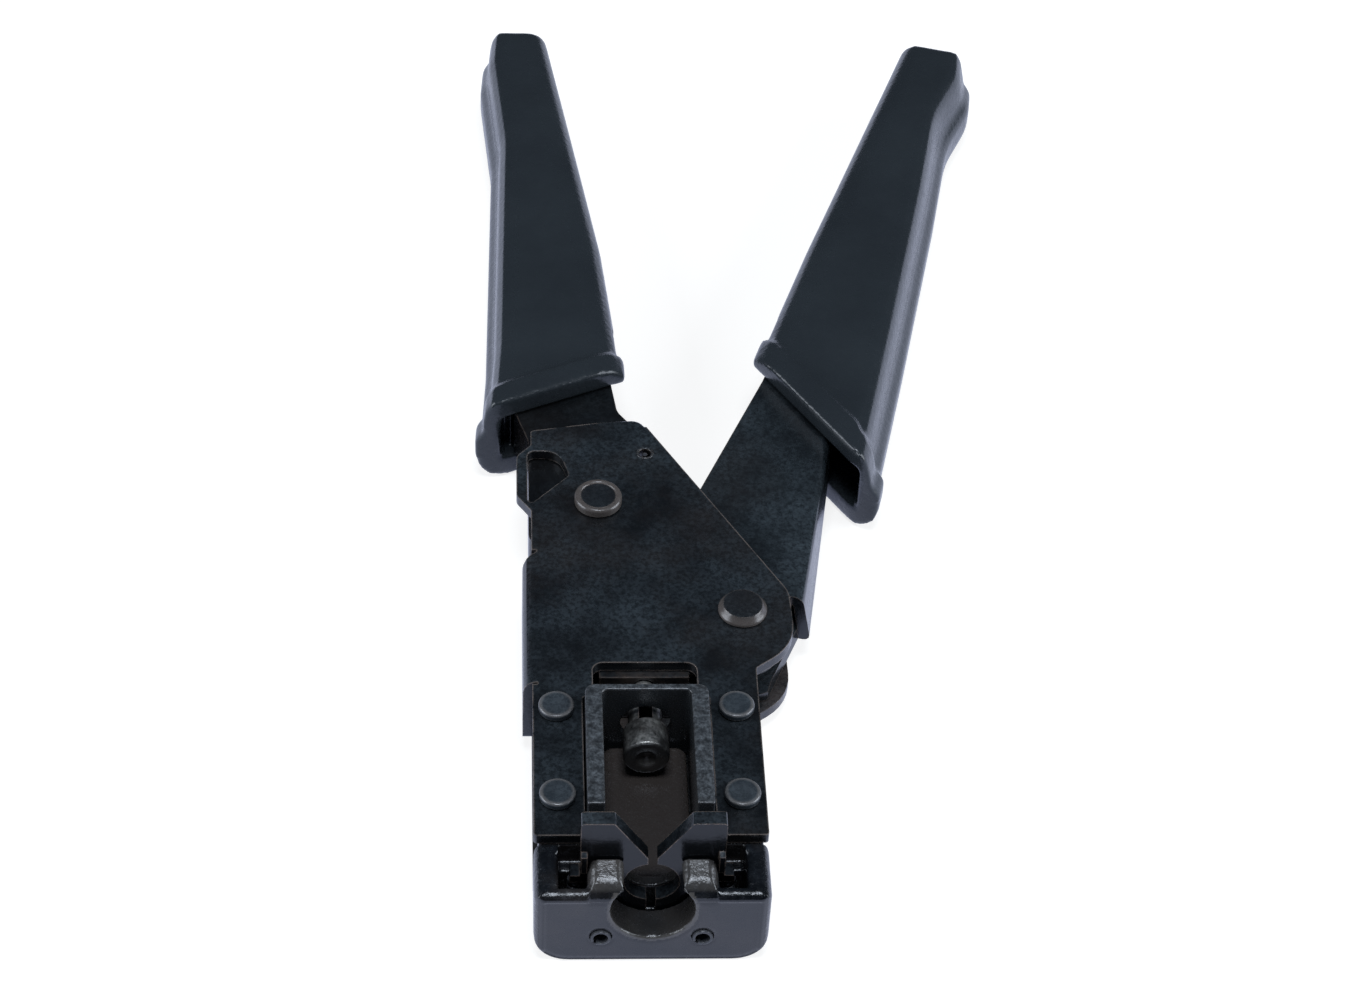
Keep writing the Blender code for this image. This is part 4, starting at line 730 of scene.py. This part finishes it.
# The cradle's pale speckled cloud shows on its tops only, and its inner walls stay black: painted top light
# and wall shade.
CRADLE = OxideSteel("cradle_oxide", black=(0.0180, 0.0210, 0.0250, 1.0), cloud=(0.120, 0.138, 0.160, 1.0),
                    stain=0.2, rub=0.9, rub_reach=0.5, cloud_scale=1000.0, grain_scale=2400.0)
CAST = OxideSteel("cast_oxide", black=(0.0026, 0.0033, 0.0046, 1.0), cloud=(0.0110, 0.0140, 0.0190, 1.0),
                  bare=(0.25, 0.24, 0.235, 1.0), brown=(0.066, 0.056, 0.053, 1.0), grain_scale=1000.0,
                  grain_height=0.2, rough_low=0.15, rough_high=0.32, stain=0.3, rub=0.0, rub_reach=0.5,
                  cloud_scale=160.0, specular=0.64, marked=True)
JAW = OxideSteel("jaw_oxide", black=(0.0035, 0.0045, 0.0060, 1.0), cloud=(0.055, 0.070, 0.086, 1.0), rub=0.9,
                 rub_reach=0.35, stain=0.2, specular=0.35, rough_low=0.10, rough_high=0.20)
RIVET = OxideSteel("rivet_oxide", black=(0.022, 0.029, 0.037, 1.0), cloud=(0.054, 0.068, 0.083, 1.0),
                   bare=(0.38, 0.36, 0.36, 1.0), rub=0.5, rub_reach=0.4, stain=0.2, cloud_scale=260.0,
                   marked=True)
PIVOT = OxideSteel("pivot_oxide", black=(0.0075, 0.0095, 0.0122, 1.0), cloud=(0.022, 0.027, 0.033, 1.0),
                   bare=(0.36, 0.31, 0.29, 1.0), rub=0.9, rub_reach=0.4, stain=0.2, cloud_scale=200.0,
                   marked=True)
WORN = OxideSteel("worn_oxide", black=(0.006, 0.0065, 0.0075, 1.0), brown=(0.050, 0.040, 0.036, 1.0),
                  stain=0.9, rub=0.6, rough_low=0.24, rough_high=0.42, cloud_scale=220.0)
SATIN = OxideSteel("satin_steel", black=(0.060, 0.062, 0.065, 1.0), cloud=(0.66, 0.68, 0.69, 1.0),
                   brown=(0.16, 0.135, 0.12, 1.0), stain=0.35, rub=0.7, rough_low=0.26, rough_high=0.40,
                   cloud_scale=320.0, tint=(0.95, 0.97, 1.0, 1.0), metal=0.65)
SPRING = OxideSteel("spring_wire", black=(0.030, 0.033, 0.040, 1.0), cloud=(0.090, 0.098, 0.118, 1.0),
                    rub=0.3, rub_reach=0.12, stain=0.2, rough_low=0.2, rough_high=0.36, cloud_scale=500.0)
VINYL = GripVinyl()


# Sub-assemblies

@dataclass
class SidePlates:
    """The two pressed plates, with a rolled ear and rear edge and a punched spring hole."""

    edge: float = 0.28
    top: float = PLATE_TOP
    ear_right: float = -9.2
    ear_front: float = 70.0
    ear_roll: float = 0.62
    rear_front: float = 87.5
    rear_roll: float = 0.8
    hole_centre: tuple[float, float] = SPRING_HOLE
    hole_radius: float = 1.0
    hole_rim: float = 0.4
    hole_rise: float = 0.1

    def build(self) -> None:
        """Make both plates and the spring hole's rim."""
        for node, finish in (("upper_side_plate", PLATE), ("lower_side_plate", FLOOR_PLATE)):
            plate = copy_node(node, f"{node}_pressed")
            if node == "upper_side_plate":
                self.roll(plate)
            ease_edges(plate, self.edge, 3)
            flat_shade(plate)
            hand_in(plate, Body.FRAME, Slot.PLATE, finish, node)
        self.roll_rim()

    def roll(self, plate: Piece) -> None:
        """Roll the hooked ear's rims and the plate's rear edge.

        Args:
            plate: the upper plate.
        """
        high = self.top - 0.02
        roll_edges(plate, lambda spot: spot.z > high and spot.x < self.ear_right and spot.y > self.ear_front,
                   self.ear_roll)
        roll_edges(plate, lambda spot: spot.z > high and spot.x > self.ear_right and spot.y > self.rear_front,
                   self.rear_roll)

    def roll_rim(self) -> None:
        """Roll the rim that the punch left round the spring hole."""
        inner, width = self.hole_radius, self.hole_rim
        arc = [(inner + width / 2 - width / 2 * math.cos(a), self.hole_rise * math.sin(a))
               for a in (math.pi * i / 8 for i in range(9))]
        ring = turn("spring_hole_rim", [(inner, -0.3)] + arc + [(inner + width, -0.3), (inner, -0.3)], 32)
        smooth_shade(ring, 50.0)
        lay(ring, (*self.hole_centre, self.top))
        hand_in(ring, Body.FRAME, Slot.PLATE, PLATE)


@dataclass
class Rivets:
    """Four frame rivets, the main pivot and the dished rear rivet."""

    top: float = PLATE_TOP
    under: float = 2.6
    gap: float = 0.3
    frame_x: float = 13.475
    frame_y: tuple[float, float] = (12.7, 29.9)
    frame_shank: float = 1.9
    frame_head: float = 2.7
    frame_height: float = 1.0
    frame_round: float = 0.42
    pivot: tuple[float, float] = MAIN_PIVOT
    rear: tuple[float, float] = (-6.3, 74.3)
    pivot_shank: float = 3.0
    pivot_head: float = 3.8
    pivot_height: float = 1.4
    pivot_flat: float = 3.1
    dish: float = 0.3
    dish_radius: float = 2.75
    frame_shine: float = 0.3
    large_shine: float = 0.26

    def build(self) -> None:
        """Turn every rivet."""
        self.frame_rivets()
        self.large_rivet("main_pivot_rivet", self.pivot, self.flat_crown(), self.pivot_flat)
        self.large_rivet("rear_rivet", self.rear, self.dished_crown(), self.dish_radius)

    def rounded(self, radius: float, height: float, edge: float) -> Profile:
        """Give a head's rounded shoulder, from its flat down to its side.

        Args:
            radius: the head's radius.
            height: the flat's height.
            edge: the shoulder's rounding.

        Returns:
            (radius, height) points.
        """
        return [(radius - edge + edge * math.sin(a), height - edge + edge * math.cos(a))
                for a in (math.pi / 2 * i / 6 for i in range(7))]

    def undercut(self, head: float, shank: float) -> Profile:
        """Give the narrow gap under a head as (radius, height) points, from its side to its shank."""
        base, neck = self.top + self.gap, head - 0.35
        return [(head, base + 0.02), (head - 0.06, base - 0.04), (neck, base - 0.04), (neck, self.top + 0.02),
                (shank, self.top + 0.02)]

    def both_ends(self, half: Profile) -> Profile:
        """Mirror a head above the plates to one below them."""
        return list(half) + [(radius, self.top + self.under - height) for radius, height in reversed(half)]

    def frame_rivets(self) -> None:
        """Turn one frame rivet and set its four copies."""
        base = self.top + self.gap
        high = base + self.frame_height
        flat = self.frame_head - self.frame_round
        half = [(0.0, high - 0.05), (flat - 0.75, high - 0.04), (flat - 0.3, high)]
        half += self.rounded(self.frame_head, high, self.frame_round)[1:]
        half += self.undercut(self.frame_head, self.frame_shank)
        model = turn("frame_rivet_model", self.both_ends(half), 40)
        smooth_shade(model, 40.0)
        x, y, _ = skin_points(model).T
        spread = np.hypot(x, y)
        within = ramp(-spread, -self.frame_head, 0.1 - self.frame_head)
        # The shoulder's ring of bare metal is partly rubbed wear and partly a painted highlight.
        paint(model, "bright", self.frame_shine * ramp(spread, flat - 0.1, flat + 0.1) * within)
        for row, along in zip(("front", "rear"), self.frame_y):
            for side in Side:
                node = f"frame_rivet_{row}_{side.name.lower()}"
                rivet = lay(twin(model, f"{node}_turned"), (side.value * self.frame_x, along, 0.0))
                hand_in(rivet, Body.FRAME, Slot.RIVET, RIVET, node)
        bpy.data.objects.remove(model)

    def flat_crown(self) -> Profile:
        """Give the pivot head's flat, its thin edge and its sloped shoulder as (radius, height) points."""
        high = self.top + self.gap + self.pivot_height
        flat = self.pivot_flat
        return [(0.0, high - 0.04), (flat - 0.5, high - 0.03), (flat - 0.2, high), (flat - 0.06, high - 0.02),
                (flat + 0.03, high - 0.12), (flat + 0.2, high - 0.42), (self.pivot_head - 0.16, high - 0.86),
                (self.pivot_head - 0.04, high - 1.0), (self.pivot_head, high - 1.14)]

    def dished_crown(self) -> Profile:
        """Give the rear rivet's sunk centre and its raised ring as (radius, height) points."""
        high = self.top + self.gap + self.pivot_height
        inner, ring = self.dish_radius, self.pivot_head - self.dish_radius
        bead = [(inner + ring / 2 - ring / 2 * math.cos(a), high - ring / 2 + ring / 2 * math.sin(a))
                for a in (math.pi * i / 10 for i in range(2, 11))]
        return [(0.0, high - self.dish), (inner - 0.35, high - self.dish + 0.02),
                (inner - 0.08, high - self.dish + 0.12)] + bead

    def large_rivet(self, node: str, place: tuple[float, float], crown: Profile,
                    bare_and_highlight: float) -> None:
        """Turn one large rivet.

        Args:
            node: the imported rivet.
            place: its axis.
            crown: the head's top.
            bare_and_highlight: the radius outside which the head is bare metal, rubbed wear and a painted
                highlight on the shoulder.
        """
        half = crown + self.undercut(self.pivot_head, self.pivot_shank)
        rivet = turn(f"{node}_turned", self.both_ends(half), 64)
        smooth_shade(rivet, 32.0)
        x, y, _ = skin_points(rivet).T
        # The shoulder's ring of bare metal is partly rubbed wear and partly a painted highlight.
        paint(rivet, "bright", self.large_shine * ramp(np.hypot(x, y), bare_and_highlight - 0.1, bare_and_highlight + 0.08))
        lay(rivet, (*place, 0.0))
        hand_in(rivet, Body.FRAME, Slot.RIVET, PIVOT, node)


@dataclass
class Nose:
    """The cast nose block with its slit roll pins."""

    skin: float = 0.25
    passes: int = 3
    half_width: float = 17.0
    height: float = 14.8
    rim_round: float = 1.4
    side_round: float = 1.9
    ground_top: float = 13.45
    ground_side: float = 15.4
    ground_depth: float = 0.3
    pocket_x: tuple[float, float] = (9.4, 13.5)
    pocket_y: tuple[float, float] = (-3.0, 3.3)
    pocket_round: float = 0.9
    hump_inner: float = 4.1
    hump_outer: float = 9.1
    hump_side: float = 1.3
    hump_front: float = 15.4
    hump_back: float = 16.8
    hump_run: float = 5.5
    hump_round: float = 3.0
    axis_z: float = CABLE_AXIS
    bore: float = 6.0
    chamfer: float = 0.75
    pin_x: float = 7.35
    pin_z: float = 5.5
    pin_radius: float = 1.5
    pin_bore: float = 1.05
    pin_slit: float = 0.7
    pin_slit_at: float = 225.0
    pin_edge: float = 0.12
    front: float = -5.2
    back: float = 5.2
    bore_shine: float = 0.12
    chamfer_shine: float = 0.45
    hump_shine: float = 0.2

    def build(self) -> None:
        """Cast the block and drive its pins."""
        block = copy_node("nose_block", "nose_block_cast")
        recast(block, self.skin, self.passes)
        self.round_rims(block)
        apply(block, 'SMOOTH', factor=0.5, iterations=1)
        self.mark(block)
        hand_in(block, Body.FRAME, Slot.CAST, CAST, "nose_block")
        for side in Side:
            self.roll_pin(side)

    def round_rims(self, block: Piece) -> None:
        """Give the cheeks and humps the wide roundings of the casting.

        Args:
            block: the nose's even skin.
        """
        points = skin_points(block)
        x, y, z = points.T.copy()
        body = y < self.back + 0.1
        ahead = (1, -1, self.front)
        wide = np.abs(x)
        hump = (wide > self.hump_inner - 0.3) & (wide < self.hump_outer + 0.2)
        slope = (self.hump_back - self.hump_front) / self.hump_run
        crest = self.hump_front + slope * (y - self.front)
        roof = (2, 1, self.height)
        pocket = (wide > self.pocket_x[0] - 0.4) & (wide < self.pocket_x[1] + 0.9)
        fillet(points, (ahead, (2, 1, crest)), self.hump_round, hump & (z > self.axis_z))
        fillet(points, (ahead, roof), self.rim_round, ~hump & body)
        before = pocket & (y < self.pocket_y[0] + 0.2)
        fillet(points, ((1, 1, self.pocket_y[0]), roof), self.pocket_round, before)
        for side in Side:
            here = side.value * x > 0.0
            flank = (0, side.value, side.value * self.half_width)
            fillet(points, (flank, roof), self.side_round, body & here)
            fillet(points, (flank, ahead), self.side_round, body & here)
            wall = (0, -side.value, side.value * self.pocket_x[1])
            beside = (wide > self.pocket_x[1] - 0.2) & (y > self.pocket_y[0]) & (y < self.pocket_y[1])
            fillet(points, (wall, roof), self.pocket_round, here & body & beside)
            upper = here & hump & (z > self.axis_z + 1.0) & (y < self.back + 0.2)
            for sign, edge in ((-1, self.hump_inner), (1, self.hump_outer)):
                face = (0, sign * side.value, side.value * edge)
                near = upper & (sign * (wide - (self.hump_inner + self.hump_outer) / 2) > 0.0)
                fillet(points, (face, (2, 1, crest)), self.hump_side, near)
        self.grind(points, wide)
        set_points(block, points)

    def grind(self, points: np.ndarray, wide: np.ndarray) -> None:
        """Set the ground front face back behind the cast rim.

        Args:
            points: the skin's points, changed in place.
            wide: the points' distances from the middle plane before any rounding.
        """
        face = ramp(-points[:, 1], -self.front - 0.35, -self.front - 0.15)
        below = ramp(-points[:, 2], -self.ground_top - 0.1, -self.ground_top + 0.1)
        within = ramp(-wide, -self.ground_side - 0.15, -self.ground_side + 0.15)
        points[:, 1] += self.ground_depth * face * below * within

    def mark(self, block: Piece) -> None:
        """Mark the ground front, the brown floor tongue, the bright bore and a painted highlight on the humps
        for the finish.

        Args:
            block: the finished skin.
        """
        x, y, z = skin_points(block).T
        bore = np.hypot(x, z - self.axis_z)
        lower = z < self.axis_z + 3.5
        ground = self.front + self.ground_depth
        chamfer = (bore < self.bore + self.chamfer - 0.1) & (y < ground + self.chamfer) & lower
        drilled = (bore < self.bore + 0.15) & (y < self.back) & lower
        wide = np.abs(x)
        hump = (wide > self.hump_inner - 0.2) & (wide < self.hump_outer + 0.2) & (y < self.back)
        # The hump crests get a painted highlight: bare metal painted along their tops.
        crest = hump * ramp(z, self.height - 0.2, self.height + 0.4)
        paint(block, "ground", ramp(-y, -ground - 0.2, -ground))
        edge = self.chamfer_shine * chamfer * ramp(bore, self.bore - 0.1, self.bore + 0.2)
        bare_and_highlight = np.maximum(self.bore_shine * drilled, self.hump_shine * crest)
        paint(block, "bright", np.maximum(bare_and_highlight, edge))
        paint(block, "stained", ramp(y, self.back - 1.0, self.back + 3.0))

    def roll_pin(self, side: Side) -> None:
        """Roll one spring pin from a strip, with its slit at the lower left.

        Args:
            side: the jaw it carries.
        """
        settle()
        bpy.ops.mesh.primitive_circle_add(vertices=48, radius=self.pin_radius * MM)
        pin = bpy.context.object
        pin.name = pin.data.name = f"roll_pin_{side.name.lower()}_rolled"
        slit_at = math.radians(self.pin_slit_at)
        away = Vector((math.cos(slit_at), math.sin(slit_at), 0.0))
        pick_points(pin, lambda spot: (spot - away * self.pin_radius).length < self.pin_slit / 2)
        with editing(pin):
            bpy.ops.mesh.delete(type='VERT')
            bpy.ops.mesh.select_all(action='SELECT')
            bpy.ops.mesh.extrude_region_move(
                TRANSFORM_OT_translate={"value": (0.0, 0.0, (self.back - self.front) * MM)})
            face_out()
        apply(pin, 'SOLIDIFY', thickness=(self.pin_radius - self.pin_bore) * MM, offset=-1.0)
        lay(pin, (0.0, 0.0, 0.0), 'Y')
        flip = Matrix.Scale(-1.0, 4, (0.0, 0.0, 1.0))
        place = Vector((side.value * self.pin_x, self.front, self.pin_z)) * MM
        pin.data.transform(Matrix.Translation(place) @ flip)
        with editing(pin):
            face_out()
        ease_edges(pin, self.pin_edge, 2, 50.0)
        smooth_shade(pin, 40.0)
        hand_in(pin, Body.FRAME, Slot.SPRING, SPRING, f"roll_pin_{side.name.lower()}")


@dataclass
class Jaws:
    """The two V-mouthed jaws and the springs under their ears."""

    edge: float = 0.22
    spring_x: float = 11.2
    spring_y: float = 1.8
    spring_radius: float = 0.8
    wire: float = 0.45
    turns: int = 7
    per_turn: int = 24
    low: float = 2.5
    high: float = 10.9
    pressed: float = 0.84

    def build(self) -> None:
        """Make both jaws and wind their springs."""
        for side, body in ((Side.LEFT, Body.JAW_LEFT), (Side.RIGHT, Body.JAW_RIGHT)):
            node = f"jaw_{side.name.lower()}"
            jaw = copy_node(node, f"{node}_ground")
            ease_edges(jaw, self.edge)
            flat_shade(jaw)
            hand_in(jaw, body, Slot.CAST, JAW, node)
            self.spring(side)

    def spring(self, side: Side) -> None:
        """Wind one spring with its end turns closed.

        Args:
            side: the jaw that presses it.
        """
        first, last = self.low + self.wire / 2, self.high - self.wire / 2
        count = (self.turns + 2) * self.per_turn
        points = []
        for i in range(count + 1):
            along = i / self.per_turn
            rise = min(max(along - 1.0, 0.0), float(self.turns)) / self.turns
            closed = (min(along, 1.0) + max(along - self.turns - 1.0, 0.0)) * 0.35 * self.wire
            z = first + closed + (last - first - 0.7 * self.wire) * rise
            angle = 2 * math.pi * along
            points.append((side.value * (self.spring_x + self.spring_radius * math.cos(angle)),
                           self.spring_y + self.spring_radius * math.sin(angle), z))
        name = f"jaw_spring_{side.name.lower()}"
        spring = wind(f"{name}_wound", points, self.wire)
        hand_in(spring, Body.FRAME, Slot.SPRING, SPRING, name)
        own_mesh(spring)


@dataclass
class Press:
    """The connector cradle, the plunger and its carriage."""

    edge: float = 0.34
    carriage_edge: float = 0.25
    axis_z: float = CABLE_AXIS
    face: float = 24.1
    radius: float = 3.5
    head: float = 5.4
    dimple: float = 1.5
    dimple_depth: float = 0.9
    rim: float = 0.5
    neck: float = 2.6
    neck_end: float = 33.0
    shank: float = 1.6
    shank_end: float = 42.9
    slot: tuple[float, float] = (2.0, 3.0)

    def build(self) -> None:
        """Make the three pieces."""
        cradle = copy_node("connector_cradle", "connector_cradle_bent")
        ease_edges(cradle, self.edge, 3)
        flat_shade(cradle)
        hand_in(cradle, Body.FRAME, Slot.PLATE, CRADLE, "connector_cradle")
        self.plunger()
        carriage = copy_node("plunger_carriage", "plunger_carriage_milled")
        ease_edges(carriage, self.carriage_edge)
        flat_shade(carriage)
        hand_in(carriage, Body.PLUNGER, Slot.WORN, WORN, "plunger_carriage")

    def plunger(self) -> None:
        """Turn the plunger and mill its neck slot."""
        back = self.face + self.head
        rim, face = self.rim, self.face
        edge = [(self.radius - rim + rim * math.sin(a), face + rim - rim * math.cos(a))
                for a in (math.pi / 2 * i / 5 for i in range(6))]
        profile = [(0.0, face + self.dimple_depth), (self.dimple * 0.55, face + self.dimple_depth * 0.72),
                   (self.dimple, face + 0.12), (self.dimple + 0.16, face)] + edge
        profile += [(self.radius, back - rim), (self.radius - 0.15, back - 0.15), (self.radius - rim, back),
                    (self.neck, back), (self.neck, self.neck_end), (self.shank, self.neck_end),
                    (self.shank, self.shank_end), (0.0, self.shank_end)]
        body = turn("plunger_turned", profile, 56)
        lay(body, (0.0, 0.0, self.axis_z), 'Y')
        settle()
        bpy.ops.mesh.primitive_cube_add(size=1.0)
        cutter = bpy.context.object
        width, length = self.slot
        place = Matrix.Translation(Vector((0.0, back + length / 2, self.axis_z)) * MM)
        cutter.data.transform(place @ Matrix.Diagonal((width * MM, length * MM, 4 * self.neck * MM, 1.0)))
        apply(body, 'BOOLEAN', operation='DIFFERENCE', solver='EXACT', object=cutter)
        bpy.data.objects.remove(cutter)
        smooth_shade(body, 38.0)
        hand_in(body, Body.PLUNGER, Slot.WORN, SATIN, "plunger")


@dataclass
class Handles:
    """The two pressed channel handles and what turns inside them."""

    edge: float = 0.3

    def build(self) -> None:
        """Make both channels, the bush and the drive pin."""
        for node, body, slot, finish in (
                ("moving_handle", Body.HANDLE, Slot.PLATE, HANDLE),
                ("fixed_handle", Body.FRAME, Slot.PLATE, SHADED_TANG),
                ("pivot_bush", Body.HANDLE, Slot.WORN, WORN),
                ("drive_pin", Body.HANDLE, Slot.WORN, WORN)):
            piece = copy_node(node, f"{node}_formed")
            ease_edges(piece, self.edge)
            flat_shade(piece)
            hand_in(piece, body, slot, finish, node)


@dataclass
class Grips:
    """The two dipped vinyl sleeves, with outer sides that slope in above the parting line."""

    skin: float = 0.44
    passes: int = 5
    parting: float = 8.6
    ease: float = 2.4
    rise: float = 2.0
    reach: tuple[float, float] = (-3.0, -1.0)
    step: float = 1.0
    soft: int = 14
    moving_side: tuple[float, float] = (-16.0, 0.26)
    fixed_side: tuple[float, float] = (180.0, 0.06)

    def build(self) -> None:
        """Dip both grips."""
        for node, body, (outward, slope) in (("moving_grip", Body.HANDLE, self.moving_side),
                                             ("fixed_grip", Body.FRAME, self.fixed_side)):
            sleeve = copy_node(node, f"{node}_dipped")
            recast(sleeve, self.skin, self.passes)
            self.slope_side(sleeve, outward, slope)
            apply(sleeve, 'SMOOTH', factor=0.5, iterations=self.soft)
            hand_in(sleeve, body, Slot.GRIP, VINYL, node)

    def slope_side(self, sleeve: Piece, outward: float, slope: float) -> None:
        """Lean the upper half of a sleeve's outer side inwards.

        Args:
            sleeve: the dipped skin.
            outward: the outer side's direction, in degrees from +X.
            slope: how far the side comes in for each millimetre of height.
        """
        points = skin_points(sleeve)
        away = np.array((math.cos(math.radians(outward)), math.sin(math.radians(outward))))
        out = points[:, :2] @ away
        along = points[:, :2] @ np.array((-away[1], away[0]))
        cell = np.floor((along - along.min()) / self.step).astype(int)
        reach = np.full(cell.max() + 1, -1e9)
        np.maximum.at(reach, cell, out)
        edge = np.interp(along, along.min() + self.step * (np.arange(len(reach)) + 0.5), reach)
        over = out - edge + slope * np.maximum(points[:, 2] - self.parting, 0.0)
        pull = (over + np.sqrt(over * over + self.ease * self.ease)) / 2
        pull *= ramp(points[:, 2], self.parting, self.parting + self.rise) * ramp(over, *self.reach)
        points[:, :2] -= pull[:, None] * away
        set_points(sleeve, points)


@dataclass
class ReturnSpring:
    """The spring on the main pivot that opens the handles."""

    centre: tuple[float, float] = MAIN_PIVOT
    hook: tuple[float, float] = SPRING_HOLE
    radius: float = 5.8
    wire: float = 0.8
    turns: int = 2
    per_turn: int = 40
    leg: float = 16.0
    open_angle: float = 16.0
    low: float = 7.2
    high: float = 11.2
    tip: float = 15.5

    def build(self) -> None:
        """Wind the spring with one leg on the handle's web and one hooked in the plate."""
        centre, hook = Vector(self.centre), Vector(self.hook)
        span = hook - centre
        leave = math.atan2(span.y, span.x) + math.acos(self.radius / span.length)
        begin = math.radians(-self.open_angle)
        sweep = (begin - leave) % (2 * math.pi) + 2 * math.pi * self.turns
        count = round(sweep / (2 * math.pi) * self.per_turn)
        turns = []
        for i in range(count + 1):
            angle = begin - sweep * i / count
            turns.append((centre.x + self.radius * math.cos(angle), centre.y + self.radius * math.sin(angle),
                          self.low + (self.high - self.low) * i / count))
        start = (turns[0][0] - math.sin(begin) * self.leg, turns[0][1] + math.cos(begin) * self.leg, self.low)
        points = [start] + turns + [(hook.x, hook.y, self.high), (hook.x, hook.y, self.tip)]
        spring = wind("handle_return_spring_wound", points, self.wire)
        hand_in(spring, None, Slot.SPRING, SPRING, "handle_return_spring")
        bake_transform(spring)


@dataclass
class Studio:
    """The white sweep, the soft lamps and the photograph's camera."""

    place: Point = (-21.88, -284.50, 363.46)
    pitch: float = 43.967
    yaw: float = 4.439
    roll: float = 3.214
    focal_pixels: float = 3132.03
    image_width: float = 1350.0
    sensor: float = 36.0
    floor_size: float = 3000.0
    floor_colour: Colour = (0.42, 0.42, 0.42, 1.0)
    glow: float = 0.76
    painted_reflection_tint: Colour = (0.66, 0.72, 1.0, 1.0)
    world: Colour = (0.030, 0.037, 0.048, 1.0)
    aim: Point = (0.0, 60.0, 5.0)
    lamp_colour: Point = (0.93, 0.97, 1.0)
    lamps: tuple[tuple[str, Point, float, float], ...] = (
        ("top", (0.0, -120.0, 900.0), 300.0, 3.6),
        ("right", (900.0, -40.0, 430.0), 700.0, 8.2),
        ("left", (-900.0, -20.0, 430.0), 700.0, 7.6),
    )

    def build(self) -> None:
        """Set up camera, floor, world and lamps."""
        bpy.context.scene.view_settings.view_transform = 'Standard'
        self.camera()
        self.floor()
        self.light()

    def camera(self) -> None:
        """Stand the camera where the photograph was taken."""
        pitch, yaw, roll = (math.radians(a) for a in (self.pitch, self.yaw, self.roll))
        ahead = Vector((math.sin(yaw) * math.cos(pitch), math.cos(yaw) * math.cos(pitch), -math.sin(pitch)))
        right = Vector((math.cos(yaw), -math.sin(yaw), 0.0))
        up = right.cross(ahead)
        across = math.cos(roll) * right + math.sin(roll) * up
        upright = math.cos(roll) * up - math.sin(roll) * right
        lens = bpy.data.cameras.new("photo_camera")
        lens.sensor_width = self.sensor
        lens.lens = self.sensor * self.focal_pixels / self.image_width
        lens.clip_start, lens.clip_end = 0.01, 20.0
        camera = bpy.data.objects.new("photo_camera", lens)
        camera.matrix_world = Matrix((
            (across.x, upright.x, -ahead.x, self.place[0] * MM),
            (across.y, upright.y, -ahead.y, self.place[1] * MM),
            (across.z, upright.z, -ahead.z, self.place[2] * MM),
            (0.0, 0.0, 0.0, 1.0)))
        bpy.context.scene.collection.objects.link(camera)
        bpy.context.scene.camera = camera

    def floor(self) -> None:
        """Lay the white floor, which shows as white and still takes the shadow."""
        settle()
        bpy.ops.mesh.primitive_grid_add(x_subdivisions=4, y_subdivisions=4, size=self.floor_size * MM)
        floor = bpy.context.object
        floor.name = "studio_floor"
        paper = bpy.data.materials.new("studio_paper")
        paper.use_nodes = True
        sheet = NodeSheet(paper.node_tree)
        shader = paper.node_tree.nodes["Principled BSDF"].inputs
        place = sheet.add("ShaderNodeTexCoord").outputs["Object"]
        fibre = sheet.noise(place, 40.0, 3.0)
        warm = tuple(0.985 * c for c in self.floor_colour[:3]) + (1.0,)
        sheet.link(sheet.mix(fibre, warm, self.floor_colour), shader["Base Color"])
        shader["Roughness"].default_value = 0.9
        shader["Specular IOR Level"].default_value = 0.1
        ray = sheet.add("ShaderNodeLightPath").outputs
        mirrored = sheet.sum('MAXIMUM', ray["Is Glossy Ray"], ray["Is Transmission Ray"])
        seen = sheet.sum('MAXIMUM', ray["Is Camera Ray"], mirrored)
        white = (1.0, 1.0, 1.0, 1.0)
        # Reflected rays see the floor's glow tinted lavender while the camera sees it white: a painted
        # reflection colour.
        sheet.link(sheet.mix(ray["Is Camera Ray"], self.painted_reflection_tint, white), shader["Emission Color"])
        sheet.link(sheet.sum('MULTIPLY', seen, self.glow), shader["Emission Strength"])
        floor.data.materials.append(paper)

    def light(self) -> None:
        """Hang the world's even grey and the soft lamps."""
        scene = bpy.context.scene
        scene.world = bpy.data.worlds.new("studio_air")
        scene.world.use_nodes = True
        air = scene.world.node_tree.nodes["Background"]
        air.inputs["Color"].default_value = self.world
        air.inputs["Strength"].default_value = 1.0
        for name, place, size, power in self.lamps:
            lamp = bpy.data.lights.new(f"{name}_lamp", 'AREA')
            lamp.size = size * MM
            lamp.energy = power
            lamp.color = self.lamp_colour
            stand = bpy.data.objects.new(f"{name}_lamp", lamp)
            stand.location = Vector(place) * MM
            aim = Vector(self.aim) * MM - stand.location
            stand.rotation_euler = aim.to_track_quat('-Z', 'Y').to_euler()
            scene.collection.objects.link(stand)


def main() -> None:
    """Build and dress the whole tool."""
    logging.basicConfig(level=logging.INFO, format="%(message)s")
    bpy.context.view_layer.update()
    for assembly in (Studio(), SidePlates(), Rivets(), Nose(), Jaws(), Press(), Handles(), Grips(),
                     ReturnSpring()):
        assembly.build()
        LOG.info("%s done", type(assembly).__name__)
    settle()


if __name__ == "__main__":
    main()
